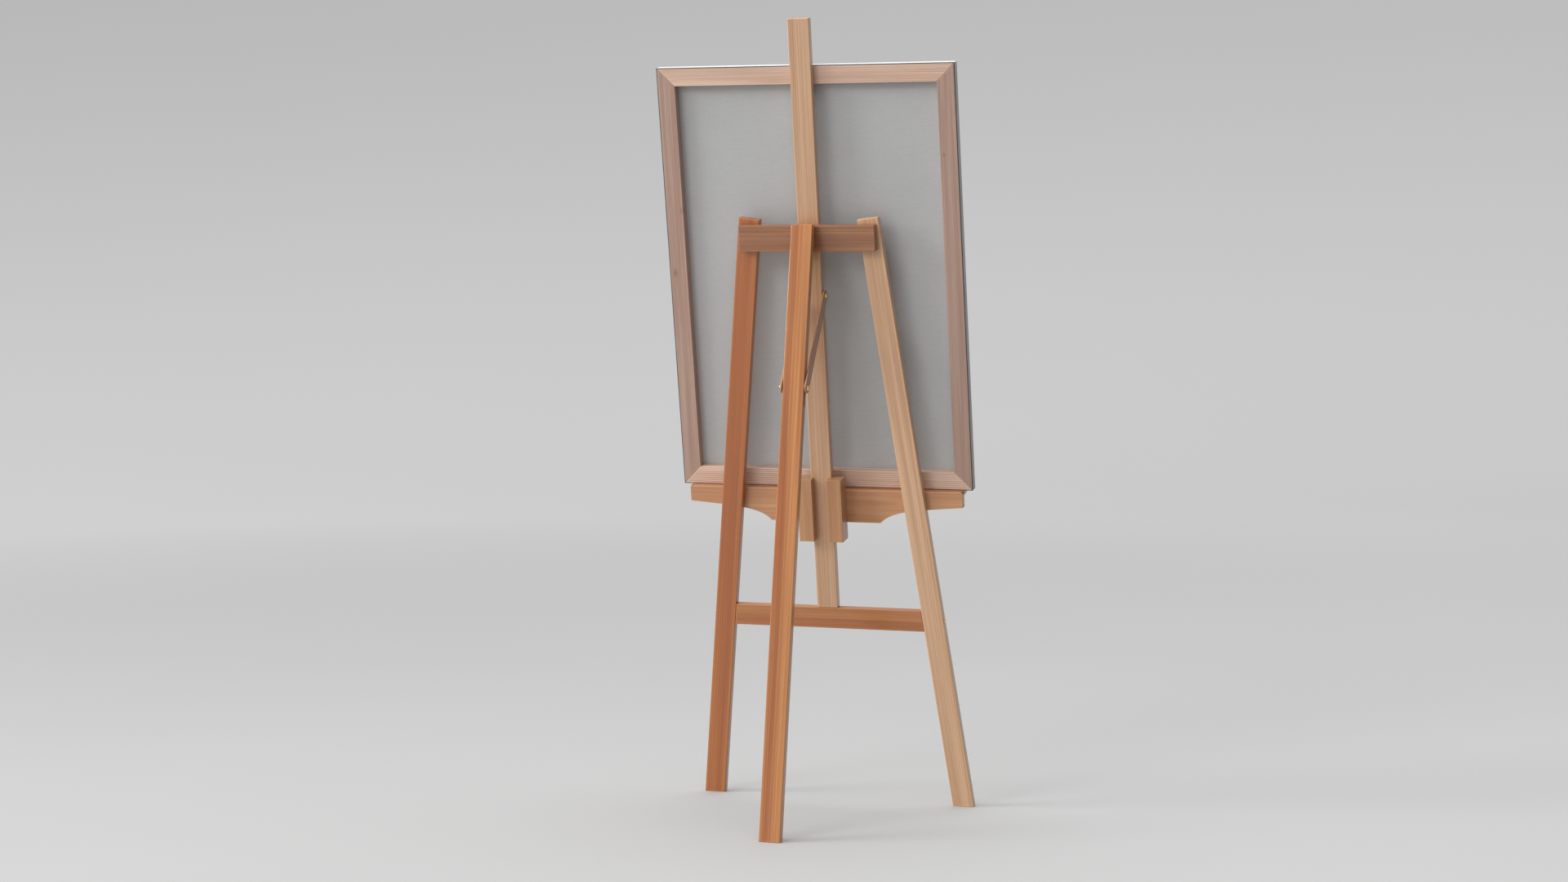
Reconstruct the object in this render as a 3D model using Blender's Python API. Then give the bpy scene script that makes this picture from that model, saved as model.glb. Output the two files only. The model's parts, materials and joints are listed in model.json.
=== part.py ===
"""A-frame studio easel with a centre mast, a folding rear leg and a stretched canvas on its tray.

Lengths are in millimetres until a mesh is made, and metres in the scene.  +Z is up, the painter
stands at -Y, the rear leg is at +Y, and the origin is on the floor in the middle of the footprint.

The front frame leans back.  Its pieces are drawn in the frame's own space: x across, y behind the
plane of the back faces, z up the slope from the floor.  The rear leg, the two stays, the tray, its
knob and the canvas each have an empty on their joint's axis, and are drawn in that empty's space.
"""
from math import asin, atan2, cos, pi, radians, sin, sqrt, tan

import bmesh
import bpy
from mathutils import Vector

# ---- driving dimensions, millimetres and degrees ------------------------------------------------
MM = 0.001
GAP = 0.3                 # clearance between two pieces that touch
LEAN = radians(9.9)       # front frame back from upright
REAR_LEAN = radians(9.9)  # rear leg from upright, the other way
SPLAY = radians(6.86)     # each front leg outward, within the frame's plane

MEMBER_W = 54.0           # width of legs, mast and brace
MEMBER_T = 22.0           # their thickness
EASE = 2.0                # rounding of the long edges

LEG_TOP = 1514.5          # centre of a front leg's top end, up the slope
LEG_TOP_X = 152.3         # and half the spacing there

CROSSBAR_LENGTH = 350.0
CROSSBAR_BOTTOM = 1435.0
CROSSBAR_TOP = 1501.0

BRACE_BOTTOM = 461.5
BRACE_TOP = BRACE_BOTTOM + MEMBER_W
MAST_TOP = 2004.0

# rear leg and its hinge
KNUCKLE_R = 4.2
KNUCKLE_OFFSET = 4.5      # hinge pin from each wooden face
HINGE_Z = 1496.0
HINGE_WIDTH = 40.0
HINGE_LENGTH = 50.0
LEAF_T = 1.8
PIN_R = 2.0
KNUCKLES = 5
HINGE_SCREWS = ((-13.0, -26.0), (13.0, -26.0), (0.0, -42.0))  # x, and z from the pin
HINGE_SCREW_LENGTH = 15.0
REAR_LEG_ABOVE_PIN = 4.5

# stays between mast and rear leg
STAY_MAST_Z = 1320.0      # upper bolt, up the slope
STAY_LEG_DOWN = 397.0     # lower bolt, down the rear leg from the hinge pin
STAY_W = 28.0
STAY_T = 4.5
STAY_BOLT_R = 3.0
SLOT_R = 4.0              # half the width of the slot in the rear leg
WASHER_R = 8.0
WASHER_T = 1.2
DOME_R = 7.5
DOME_H = 5.0

# tray
APRON_HALF = 359.0
APRON_T = 20.0
APRON_TOP = 821.0
APRON_END_BOTTOM = 781.0
APRON_MID_BOTTOM = 736.0
APRON_FLAT_HALF = 145.0
APRON_SCOOP = ((173.0, 767.0), (230.0, 771.0))  # the handles that shape each scoop's curve
APRON_CORNER_R = 4.0
LEDGE_DEPTH = 45.0
LEDGE_BACK_T = 13.0
LEDGE_FRONT_T = 7.0
LIP_T = 10.0
LIP_H = 12.0
BLOCK_BOTTOM = 695.0
BLOCK_TOP = 856.0
BLOCK_INNER = 19.4        # rear lip's inner edge
BLOCK_OUTER = 57.4
BLOCK_BACK = 22.4
MAST_PLAY = 0.4           # between block and mast
KNOB_Z = 765.0
KNOB_R = 18.0
KNOB_T = 16.0
INSERT_R = 5.5

# canvas
CANVAS_W = 762.0
CANVAS_H = 1067.0
BAR_W = 44.5
BAR_T = 24.0
CLOTH_T = 1.0
CANVAS_FOOT = 21.7        # bottom edge forward of the mast, top edge against it

# fastener sizes
SCREW_R = 2.2
SCREW_HEAD_R = 4.2
SCREW_HEAD_H = 2.8
SMALL_R = 1.6
SMALL_HEAD_R = 3.0
SMALL_HEAD_H = 1.6
BRACE_BOLT_HEAD_R = 5.5
BRACE_BOLT_HEAD_H = 3.6
BRACE_BOLT_Z = 490.0

# ---- derived places -----------------------------------------------------------------------------
HALF_W = MEMBER_W / 2
MID_Y = -MEMBER_T / 2
CROSSBAR_BACK = GAP + MEMBER_T
PIN_Y = CROSSBAR_BACK + KNUCKLE_OFFSET
REAR_FRONT = KNUCKLE_OFFSET
REAR_BACK = KNUCKLE_OFFSET + MEMBER_T
REAR_MID = KNUCKLE_OFFSET + MEMBER_T / 2
PIN_UP = HINGE_Z * cos(LEAN) - PIN_Y * sin(LEAN)
PIN_BEHIND = HINGE_Z * sin(LEAN) + PIN_Y * cos(LEAN)
REAR_FOOT = (REAR_BACK + PIN_BEHIND * cos(REAR_LEAN) + PIN_UP * sin(REAR_LEAN)) / cos(REAR_LEAN)
FRONT_FOOT = -MEMBER_T / cos(LEAN)
FRAME_Y = -(REAR_FOOT + FRONT_FOOT) / 2
FOLD = LEAN + REAR_LEAN

STAY_DY = STAY_LEG_DOWN * sin(FOLD) + REAR_MID * cos(FOLD) + PIN_Y - MID_Y
STAY_DZ = HINGE_Z - STAY_MAST_Z - STAY_LEG_DOWN * cos(FOLD) + REAR_MID * sin(FOLD)
STAY_LENGTH = sqrt(STAY_DY ** 2 + STAY_DZ ** 2)
STAY_ANGLE = atan2(STAY_DY, -STAY_DZ)
FOLDED_DY = REAR_MID + PIN_Y - MID_Y
FOLDED_DOWN = sqrt(STAY_LENGTH ** 2 - FOLDED_DY ** 2) + HINGE_Z - STAY_MAST_Z
STAY_SWING = STAY_ANGLE - asin(FOLDED_DY / STAY_LENGTH)

STAY_INNER = HALF_W + GAP + WASHER_T + GAP
STAY_OUTER = STAY_INNER + STAY_T

APRON_BACK = -MEMBER_T - GAP
APRON_FRONT = APRON_BACK - APRON_T
LEDGE_BACK = APRON_FRONT - GAP
LEDGE_FRONT = LEDGE_BACK - LEDGE_DEPTH
CANVAS_TILT = asin(CANVAS_FOOT / CANVAS_H)
CANVAS_Y = APRON_BACK - CANVAS_FOOT
CANVAS_Z = APRON_TOP + GAP
BAR_HALF_W = CANVAS_W / 2 - CLOTH_T - GAP
BAR_BOTTOM = CLOTH_T + GAP
BAR_TOP = CANVAS_H - CLOTH_T - GAP

FINE = 12                 # sides of a dome, washer or knuckle
PLAIN = 8                 # sides of a screw

# ---- materials ----------------------------------------------------------------------------------
ORANGE_WOOD = ((0.49, 0.24, 0.11), 0.55, 0.0)
TAN_WOOD = ((0.60, 0.39, 0.24), 0.55, 0.0)
TRAY_WOOD = ((0.47, 0.27, 0.14), 0.55, 0.0)
PINE = ((0.62, 0.43, 0.34), 0.65, 0.0)
LINEN = ((0.86, 0.86, 0.84), 0.85, 0.0)
BRASS = ((0.72, 0.55, 0.24), 0.30, 1.0)
STEEL = ((0.55, 0.55, 0.56), 0.35, 1.0)

X_AXIS = Vector((1, 0, 0))
Y_AXIS = Vector((0, 1, 0))
Z_AXIS = Vector((0, 0, 1))


def clear_scene():
    for obj in list(bpy.data.objects):
        bpy.data.objects.remove(obj)


def material(name, look):
    colour, roughness, metallic = look
    made = bpy.data.materials.new(name)
    made.use_nodes = True
    shader = made.node_tree.nodes["Principled BSDF"]
    shader.inputs["Base Color"].default_value = (*colour, 1.0)
    shader.inputs["Roughness"].default_value = roughness
    shader.inputs["Metallic"].default_value = metallic
    return made


def axis_empty(name, place, turn_x, parent=None):
    """An empty at place (millimetres in the parent's space), turned about X."""
    empty = bpy.data.objects.new(name, None)
    empty.location = Vector(place) * MM
    empty.rotation_euler = (turn_x, 0, 0)
    empty.parent = parent
    bpy.context.collection.objects.link(empty)
    return empty


# ---- shapes: each function returns a bmesh in millimetres ----------------------------------------
def prism(outline, low, high, axis="y", ease=EASE, segments=2):
    """An outline swept from low to high; its points are (x, z), (x, y) or (y, z) by the axis."""
    place = {
        "x": lambda a, b, h: (h, a, b),
        "y": lambda a, b, h: (a, h, b),
        "z": lambda a, b, h: (a, b, h),
    }[axis]
    bm = bmesh.new()
    ends = [[bm.verts.new(place(a, b, h)) for a, b in outline] for h in (low, high)]
    for end in ends:
        bm.faces.new(end)
    for i in range(len(outline)):
        j = (i + 1) % len(outline)
        bm.faces.new((ends[0][i], ends[0][j], ends[1][j], ends[1][i]))
    return eased(bm, ease, segments)


def eased(bm, ease, segments=2):
    """Turn the faces outward and round every sharp edge."""
    bmesh.ops.recalc_face_normals(bm, faces=bm.faces)
    if ease > 0:
        sharp = [edge for edge in bm.edges if edge.calc_face_angle(0) > radians(25)]
        bmesh.ops.bevel(bm, geom=sharp, offset=ease, segments=segments, profile=0.5,
                        affect="EDGES", clamp_overlap=True)
        bmesh.ops.recalc_face_normals(bm, faces=bm.faces)
    return bm


def box(low, high, ease=EASE):
    (x0, y0, z0), (x1, y1, z1) = low, high
    return prism([(x0, z0), (x1, z0), (x1, z1), (x0, z1)], y0, y1, "y", ease)


def hexahedron(low_ring, high_ring, ease=EASE):
    """A solid between two four-cornered rings."""
    bm = bmesh.new()
    rings = [[bm.verts.new(corner) for corner in ring] for ring in (low_ring, high_ring)]
    bm.faces.new(rings[0])
    bm.faces.new(rings[1])
    for i in range(4):
        j = (i + 1) % 4
        bm.faces.new((rings[0][i], rings[0][j], rings[1][j], rings[1][i]))
    return eased(bm, ease)


def turned(profile, start, direction, sides=PLAIN):
    """A profile of (radius, height) points turned about an axis; it starts and ends on the axis."""
    turn = Z_AXIS.rotation_difference(Vector(direction)).to_matrix()
    bm = bmesh.new()
    rings = []
    for radius, height in profile:
        if radius == 0:
            rings.append([bm.verts.new(Vector(start) + turn @ Vector((0, 0, height)))])
            continue
        ring = []
        for k in range(sides):
            angle = 2 * pi * (k + 0.5) / sides
            point = Vector((radius * cos(angle), radius * sin(angle), height))
            ring.append(bm.verts.new(Vector(start) + turn @ point))
        rings.append(ring)
    for below, above in zip(rings, rings[1:]):
        for k in range(sides):
            m = (k + 1) % sides
            corners = [below[k % len(below)], below[m % len(below)],
                       above[m % len(above)], above[k % len(above)]]
            unique = list(dict.fromkeys(corners))
            bm.faces.new(unique)
    bmesh.ops.recalc_face_normals(bm, faces=bm.faces)
    return bm


def tube(inner, outer, start, direction, length, sides=FINE):
    """A plain bush or washer."""
    bm = turned([(0, 0), (outer, 0), (outer, length), (0, length)], start, direction, sides)
    return bm, [rod(inner, start, direction, -1, length + 1, sides)]


def rod(radius, start, direction, low, high, sides=PLAIN):
    return turned([(0, low), (radius, low), (radius, high), (0, high)], start, direction, sides)


def merged(parts):
    """Several separate shells in one bmesh, used for cutters."""
    whole = bmesh.new()
    for part in parts:
        mesh = bpy.data.meshes.new("part")
        part.to_mesh(mesh)
        part.free()
        whole.from_mesh(mesh)
        bpy.data.meshes.remove(mesh)
    return whole


def new_object(name, bm, parent):
    bmesh.ops.scale(bm, vec=(MM, MM, MM), verts=bm.verts)
    mesh = bpy.data.meshes.new(name)
    bm.to_mesh(mesh)
    bm.free()
    mesh.shade_smooth()
    mesh.set_sharp_from_angle(angle=radians(35))
    obj = bpy.data.objects.new(name, mesh)
    obj.parent = parent
    bpy.context.collection.objects.link(obj)
    return obj


def boolean(obj, other, operation):
    other.hide_render = True
    other.display_type = "WIRE"
    step = obj.modifiers.new(operation.lower(), "BOOLEAN")
    step.operation = operation
    step.solver = "EXACT"
    step.object = other


def piece(name, bm, parent, look, cuts=(), joins=()):
    """One sub-part: its solid, its material, what is joined to it and what is cut from it."""
    obj = new_object(name, bm, parent)
    obj.data.materials.append(material(name, look))
    for number, extra in enumerate(joins):
        boolean(obj, new_object(f"join_{name}_{number}", extra, parent), "UNION")
    if cuts:
        boolean(obj, new_object(f"cut_{name}", merged(list(cuts)), parent), "DIFFERENCE")
    return obj


# ---- fasteners ----------------------------------------------------------------------------------
def screw(length, start, direction, small=False):
    """A countersunk wood screw whose head is flush at start."""
    radius, head, depth = (SMALL_R, SMALL_HEAD_R, SMALL_HEAD_H) if small else \
        (SCREW_R, SCREW_HEAD_R, SCREW_HEAD_H)
    profile = [(0, 0), (head, 0), (radius, depth), (radius, length - 2 * radius), (0, length)]
    return turned(profile, start, direction)


def screw_hole(length, start, direction, small=False):
    """The space for such a screw, with clearance all round."""
    radius, head, depth = (SMALL_R, SMALL_HEAD_R, SMALL_HEAD_H) if small else \
        (SCREW_R, SCREW_HEAD_R, SCREW_HEAD_H)
    slack = 1.2 * GAP
    profile = [(0, -2), (head + slack, -2), (head + slack, 0), (radius + slack, depth + slack),
               (radius + slack, length + slack), (0, length + slack)]
    return turned(profile, start, direction)


def dome(radius, height, steps=3):
    """Profile of a domed head, from its flat face to its crown."""
    arc = [(radius * cos(pi / 2 * k / steps), height * sin(pi / 2 * k / steps)) for k in range(steps)]
    return [*arc, (0, height)]


def domed_bolt(head_r, head_h, shank_r, length, start, direction):
    """A bolt whose head sits at start, with its shank running along direction."""
    crown = [(r, -h) for r, h in reversed(dome(head_r, head_h))]
    profile = [*crown, (shank_r, 0), (shank_r, length), (0, length)]
    return turned(profile, start, direction, FINE)


# ---- front frame --------------------------------------------------------------------------------
def leg_centre_x(z):
    return LEG_TOP_X + (LEG_TOP - z) * tan(SPLAY)


def leg_inner_x(z):
    return leg_centre_x(z) - HALF_W / cos(SPLAY)


def front_leg(side):
    """A splayed leg: square top end, foot cut level with the floor."""
    top_ring, foot_ring = [], []
    for across, y in ((-HALF_W, -MEMBER_T), (HALF_W, -MEMBER_T), (HALF_W, 0), (-HALF_W, 0)):
        top_x = LEG_TOP_X + across * cos(SPLAY)
        top_z = LEG_TOP + across * sin(SPLAY)
        foot_z = y * tan(LEAN)
        foot_x = top_x + (top_z - foot_z) * tan(SPLAY)
        top_ring.append((side * top_x, y, top_z))
        foot_ring.append((side * foot_x, y, foot_z))
    return hexahedron(foot_ring, top_ring)


def brace_bolt(side):
    """Start and direction of the bolt through a leg's outer side into the brace's end."""
    outer_x = leg_centre_x(BRACE_BOLT_Z) + HALF_W / cos(SPLAY)
    outward = Vector((side * cos(SPLAY), 0, sin(SPLAY)))
    start = Vector((side * outer_x, MID_Y, BRACE_BOLT_Z)) + outward * GAP
    return start, -outward


def build_front_frame(frame):
    crossbar_screw_z = (1450.0, 1486.0)
    crossbar_screw_length = 36.0
    mast_screws = {"upper": (16.0, 1488.0), "lower": (-16.0, 1447.0)}
    mast_foot_x = {"left": 14.0, "right": -14.0}
    mast_foot_length = 92.0
    recess = 6.0
    bolt_length = 104.0
    up = Z_AXIS
    back = Y_AXIS
    crossbar_cuts, brace_cuts, mast_cuts = [], [], []

    for side, word in ((1, "left"), (-1, "right")):
        leg_cuts = []
        for z, level in zip(crossbar_screw_z, ("lower", "upper")):
            start = (side * leg_centre_x(z), -MEMBER_T, z)
            piece(f"crossbar_screw_{word}_{level}", screw(crossbar_screw_length, start, back),
                  frame, BRASS)
            leg_cuts.append(screw_hole(crossbar_screw_length, start, back))
            crossbar_cuts.append(screw_hole(crossbar_screw_length, start, back))
        start, inward = brace_bolt(side)
        piece(f"brace_bolt_{word}",
              domed_bolt(BRACE_BOLT_HEAD_R, BRACE_BOLT_HEAD_H, STAY_BOLT_R, bolt_length, start, inward),
              frame, BRASS)
        leg_cuts.append(rod(STAY_BOLT_R + GAP, start, inward, -2, bolt_length + GAP, FINE))
        brace_cuts.append(rod(STAY_BOLT_R + GAP, start, inward, -2, bolt_length + GAP, FINE))
        look = ORANGE_WOOD if side > 0 else TAN_WOOD
        piece(f"{word}_front_leg", front_leg(side), frame, look, leg_cuts)

    for level, (x, z) in mast_screws.items():
        start = (x, -MEMBER_T, z)
        piece(f"mast_screw_{level}", screw(crossbar_screw_length, start, back), frame, BRASS)
        mast_cuts.append(screw_hole(crossbar_screw_length, start, back))
        crossbar_cuts.append(screw_hole(crossbar_screw_length, start, back))
    for word, x in mast_foot_x.items():
        start = (x, MID_Y, BRACE_BOTTOM + recess)
        piece(f"mast_foot_screw_{word}", screw(mast_foot_length, start, up), frame, BRASS)
        mast_cuts.append(screw_hole(mast_foot_length, start, up))
        brace_cuts.append(screw_hole(mast_foot_length, start, up))
        brace_cuts.append(rod(SCREW_HEAD_R + 1, start, up, -2 * recess, 0))

    for x, z in HINGE_SCREWS:
        start = (x, PIN_Y - KNUCKLE_R + LEAF_T, z + HINGE_Z)
        crossbar_cuts.append(screw_hole(HINGE_SCREW_LENGTH, start, -back, small=True))
    half = CROSSBAR_LENGTH / 2
    piece("top_crossbar", box((-half, GAP, CROSSBAR_BOTTOM), (half, CROSSBAR_BACK, CROSSBAR_TOP)),
          frame, TRAY_WOOD, crossbar_cuts)

    outline = []
    for side, z in ((-1, BRACE_BOTTOM), (1, BRACE_BOTTOM), (1, BRACE_TOP), (-1, BRACE_TOP)):
        outline.append((side * (leg_inner_x(z) - GAP / cos(SPLAY)), z))
    piece("lower_brace", prism(outline, -MEMBER_T, 0), frame, ORANGE_WOOD, brace_cuts)

    mast_cuts.append(rod(STAY_BOLT_R + GAP, (0, MID_Y, STAY_MAST_Z), X_AXIS, -40, 40, FINE))
    piece("mast", box((-HALF_W, -MEMBER_T, BRACE_TOP + GAP), (HALF_W, 0, MAST_TOP)), frame,
          TAN_WOOD, mast_cuts)


# ---- hinge --------------------------------------------------------------------------------------
def hinge_leaf(name, parent, turn, odd):
    """A leaf hanging from the pin at the parent's origin; turn -1 puts it on the front side."""
    clear = KNUCKLE_R + 1.0
    inset = 0.1
    near, far = sorted((turn * (KNUCKLE_R - LEAF_T), turn * KNUCKLE_R))
    half = HINGE_WIDTH / 2
    pitch = HINGE_WIDTH / KNUCKLES
    plate = box((-half, near, -HINGE_LENGTH), (half, far, -clear), 0)
    joins = []
    for k in range(KNUCKLES):
        if k % 2 == odd:
            continue
        low = -half + k * pitch + GAP / 2
        high = low + pitch - GAP
        joins.append(box((low + inset, near + inset, -clear - 1), (high - inset, far - inset, 0), 0))
        joins.append(rod(KNUCKLE_R, (0, 0, 0), X_AXIS, low, high, FINE))
    cuts = [rod(PIN_R + GAP, (0, 0, 0), X_AXIS, -half - 1, half + 1, FINE)]
    inner_face = turn * (KNUCKLE_R - LEAF_T)
    for number, (x, z) in enumerate(HINGE_SCREWS, start=1):
        start = (x, inner_face, z)
        outward = Y_AXIS * turn
        piece(f"{name}_screw_{number}", screw(HINGE_SCREW_LENGTH, start, outward, small=True),
              parent, BRASS)
        cuts.append(screw_hole(HINGE_SCREW_LENGTH, start, outward, small=True))
    piece(name, plate, parent, BRASS, cuts, joins)


def build_hinge(frame, rear):
    fixed_side = axis_empty("hinge_pin_axis", (0, PIN_Y, HINGE_Z), 0, frame)
    hinge_leaf("hinge_fixed_leaf", fixed_side, -1, odd=1)
    hinge_leaf("hinge_moving_leaf", rear, 1, odd=0)
    half = HINGE_WIDTH / 2 - GAP
    pin = turned([(0, -half), (PIN_R, -half), (PIN_R, half), (0, half)], (0, 0, 0), X_AXIS, FINE)
    piece("hinge_pin", pin, fixed_side, STEEL)


# ---- rear leg -----------------------------------------------------------------------------------
def build_rear_leg(rear):
    top_ring, foot_ring = [], []
    for x, y in ((-HALF_W, REAR_FRONT), (HALF_W, REAR_FRONT), (HALF_W, REAR_BACK), (-HALF_W, REAR_BACK)):
        top_ring.append((x, y, REAR_LEG_ABOVE_PIN))
        foot_ring.append((x, y, -(PIN_UP + y * sin(REAR_LEAN)) / cos(REAR_LEAN)))
    slot_ends = (-STAY_LEG_DOWN, -FOLDED_DOWN)
    slot = prism(rounded_slot(REAR_MID, slot_ends, SLOT_R), -HALF_W - 2, HALF_W + 2, "x", 0)
    cuts = [slot]
    for x, z in HINGE_SCREWS:
        start = (x, KNUCKLE_R - LEAF_T, z)
        cuts.append(screw_hole(HINGE_SCREW_LENGTH, start, Y_AXIS, small=True))
    piece("rear_leg", hexahedron(foot_ring, top_ring), rear, ORANGE_WOOD, cuts)


def rounded_slot(y, ends, radius, steps=8):
    """Outline of a slot along z whose round ends are centred at ends."""
    high, low = ends
    points = []
    for centre, first in ((high, 0), (low, pi)):
        for k in range(steps + 1):
            angle = first + pi * k / steps
            points.append((y + radius * cos(angle), centre + radius * sin(angle)))
    return points


# ---- stays --------------------------------------------------------------------------------------
def build_stays(frame, stays):
    """The stays turn on the mast bolt; the leg bolt is carried between their lower ends."""
    outline = rounded_slot(0, (0, -STAY_LENGTH), STAY_W / 2)
    low_end = (0, 0, -STAY_LENGTH)
    holes = ((0, 0, 0), low_end)
    for side, word in ((1, "left"), (-1, "right")):
        x_low, x_high = sorted((side * STAY_INNER, side * STAY_OUTER))
        cuts = [rod(STAY_BOLT_R + GAP, place, X_AXIS, -60, 60, FINE) for place in holes]
        piece(f"{word}_stay", prism(outline, x_low, x_high, "x", 1.0), stays, TAN_WOOD, cuts)
    mast_bolt = axis_empty("mast_bolt_axis", (0, MID_Y, STAY_MAST_Z), 0, frame)
    bolt_set("mast", mast_bolt, (0, 0, 0))
    bolt_set("leg", stays, low_end)


def bolt_set(where, parent, place):
    """A domed bolt through both stays, a cap nut on its far end, and a washer inside each stay."""
    seat = STAY_OUTER + GAP
    start = Vector(place) - X_AXIS * seat
    length = 2 * seat + DOME_H / 2
    piece(f"{where}_stay_bolt", domed_bolt(DOME_R, DOME_H, STAY_BOLT_R, length, start, X_AXIS),
          parent, BRASS)
    nut_start = Vector(place) + X_AXIS * seat
    nut = turned([(0, 0), *dome(DOME_R, DOME_H)], nut_start, X_AXIS, FINE)
    bore = rod(STAY_BOLT_R + GAP, nut_start, X_AXIS, -1, DOME_H / 2 + GAP, FINE)
    piece(f"{where}_cap_nut", nut, parent, BRASS, [bore])
    for side, word in ((1, "left"), (-1, "right")):
        washer_start = Vector(place) + X_AXIS * side * (HALF_W + GAP)
        disc, hole = tube(STAY_BOLT_R + GAP, WASHER_R, washer_start, X_AXIS * side, WASHER_T)
        piece(f"{where}_washer_{word}", disc, parent, BRASS, hole)


# ---- tray ---------------------------------------------------------------------------------------
def apron_outline():
    """Wide in the middle, with a scoop on each side that runs out towards the ends."""
    scoop = [Vector(point) for point in (
        (APRON_FLAT_HALF, APRON_MID_BOTTOM), *APRON_SCOOP,
        (APRON_HALF - APRON_CORNER_R, APRON_END_BOTTOM))]
    steps = 9
    curve = []
    for k in range(steps + 1):
        t = k / steps
        weights = ((1 - t) ** 3, 3 * t * (1 - t) ** 2, 3 * t * t * (1 - t), t ** 3)
        curve.append(sum((w * p for w, p in zip(weights, scoop)), Vector((0, 0))))
    right = [(point.x, point.y) for point in curve]
    for centre_z, first in ((APRON_END_BOTTOM + APRON_CORNER_R, -pi / 2),
                            (APRON_TOP - APRON_CORNER_R, 0)):
        for k in range(1 if first < 0 else 0, 4):
            angle = first + pi / 2 * k / 3
            right.append((APRON_HALF - APRON_CORNER_R + APRON_CORNER_R * cos(angle),
                          centre_z + APRON_CORNER_R * sin(angle)))
    left = [(-x, z) for x, z in reversed(right)]
    return right + left


def build_tray(tray):
    """Pieces are drawn in the tray's space, whose z is counted from the top of the apron."""
    down = APRON_TOP
    block_screw_z = {"upper": 795.0 - down, "lower": 752.0 - down}
    block_screw_x = 42.0
    block_screw_length = 48.0
    apron_cuts = []
    block_cuts = {1: [], -1: []}
    for side, word in ((1, "left"), (-1, "right")):
        for level, z in block_screw_z.items():
            start = (side * block_screw_x, APRON_FRONT, z)
            piece(f"block_screw_{word}_{level}", screw(block_screw_length, start, Y_AXIS), tray, BRASS)
            apron_cuts.append(screw_hole(block_screw_length, start, Y_AXIS))
            block_cuts[side].append(screw_hole(block_screw_length, start, Y_AXIS))

    dowel_x = (-260.0, 0.0, 260.0)
    dowel_r, dowel_half = 4.0, 12.0
    dowel_z = -LEDGE_BACK_T / 2
    dowel_y = LEDGE_BACK + GAP / 2
    ledge_cuts = []
    for number, x in enumerate(dowel_x, start=1):
        place = (x, dowel_y, dowel_z)
        piece(f"ledge_dowel_{number}", rod(dowel_r, place, Y_AXIS, -dowel_half, dowel_half), tray, PINE)
        for cuts in (apron_cuts, ledge_cuts):
            cuts.append(rod(dowel_r + GAP, place, Y_AXIS, -dowel_half - GAP, dowel_half + GAP))

    knob_place = Vector((0, APRON_FRONT, KNOB_Z - down))
    apron_cuts.append(rod(INSERT_R + GAP, knob_place, Y_AXIS, -1, APRON_T + 1, FINE))
    outline = [(x, z - down) for x, z in apron_outline()]
    board = prism(outline, APRON_FRONT, APRON_BACK, "y", 1.5, 1)
    piece("tray_apron", board, tray, TRAY_WOOD, apron_cuts)
    bush, bore = tube(STAY_BOLT_R + GAP, INSERT_R, knob_place, Y_AXIS, APRON_T)
    piece("threaded_insert", bush, tray, BRASS, bore)

    section = [(LEDGE_BACK, -LEDGE_BACK_T), (LEDGE_BACK, 0), (LEDGE_FRONT, 0),
               (LEDGE_FRONT, -LEDGE_FRONT_T)]
    piece("tray_ledge", prism(section, -APRON_HALF, APRON_HALF, "x", 1.5), tray, TRAY_WOOD, ledge_cuts)
    piece("tray_front_lip", box((-APRON_HALF, LEDGE_FRONT, GAP), (APRON_HALF, LEDGE_FRONT + LIP_T, LIP_H)),
          tray, TRAY_WOOD)

    for side, word in ((1, "left"), (-1, "right")):
        cheek, lip = side * (HALF_W + MAST_PLAY), side * BLOCK_INNER
        outer = side * BLOCK_OUTER
        front = -MEMBER_T
        shape = [(outer, front), (outer, BLOCK_BACK), (lip, BLOCK_BACK), (lip, MAST_PLAY),
                 (cheek, MAST_PLAY), (cheek, front)]
        solid = prism(shape, BLOCK_BOTTOM - down, BLOCK_TOP - down, "z", 1.0)
        piece(f"{word}_slider_block", solid, tray, TRAY_WOOD, block_cuts[side])
    return knob_place


def build_knob(knob):
    """A lobed wooden knob on a stud whose tip bears on the mast."""
    lobes, steps = 6, 36
    wave = 0.08
    gap_to_apron = 2.0
    outline = []
    for k in range(steps):
        angle = 2 * pi * k / steps
        radius = KNOB_R * (1 - wave + wave * cos(lobes * angle))
        outline.append((radius * cos(angle), radius * sin(angle)))
    tip = APRON_T
    bore_depth = 10.0
    grip = prism(outline, -gap_to_apron - KNOB_T, -gap_to_apron, "y", 1.5, 1)
    bore = rod(STAY_BOLT_R + GAP, (0, 0, 0), Y_AXIS, -gap_to_apron - bore_depth - GAP, 1, FINE)
    piece("tray_knob", grip, knob, TAN_WOOD, [bore])
    piece("knob_stud", rod(STAY_BOLT_R, (0, 0, 0), Y_AXIS, -gap_to_apron - bore_depth, tip, FINE),
          knob, STEEL)


# ---- canvas -------------------------------------------------------------------------------------
def mitred_bar(horizontal, outer_a, outer_b, edge, inward):
    """A stretcher bar from outer_a to outer_b along its outer edge, mitred at both ends."""
    inner = edge + inward * BAR_W
    cut = GAP * 0.75
    points = [(outer_a + cut, edge), (outer_b - cut, edge),
              (outer_b - BAR_W - cut, inner), (outer_a + BAR_W + cut, inner)]
    if not horizontal:
        points = [(b, a) for a, b in points]
    return prism(points, -BAR_T, 0, "y", 1.0)


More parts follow.
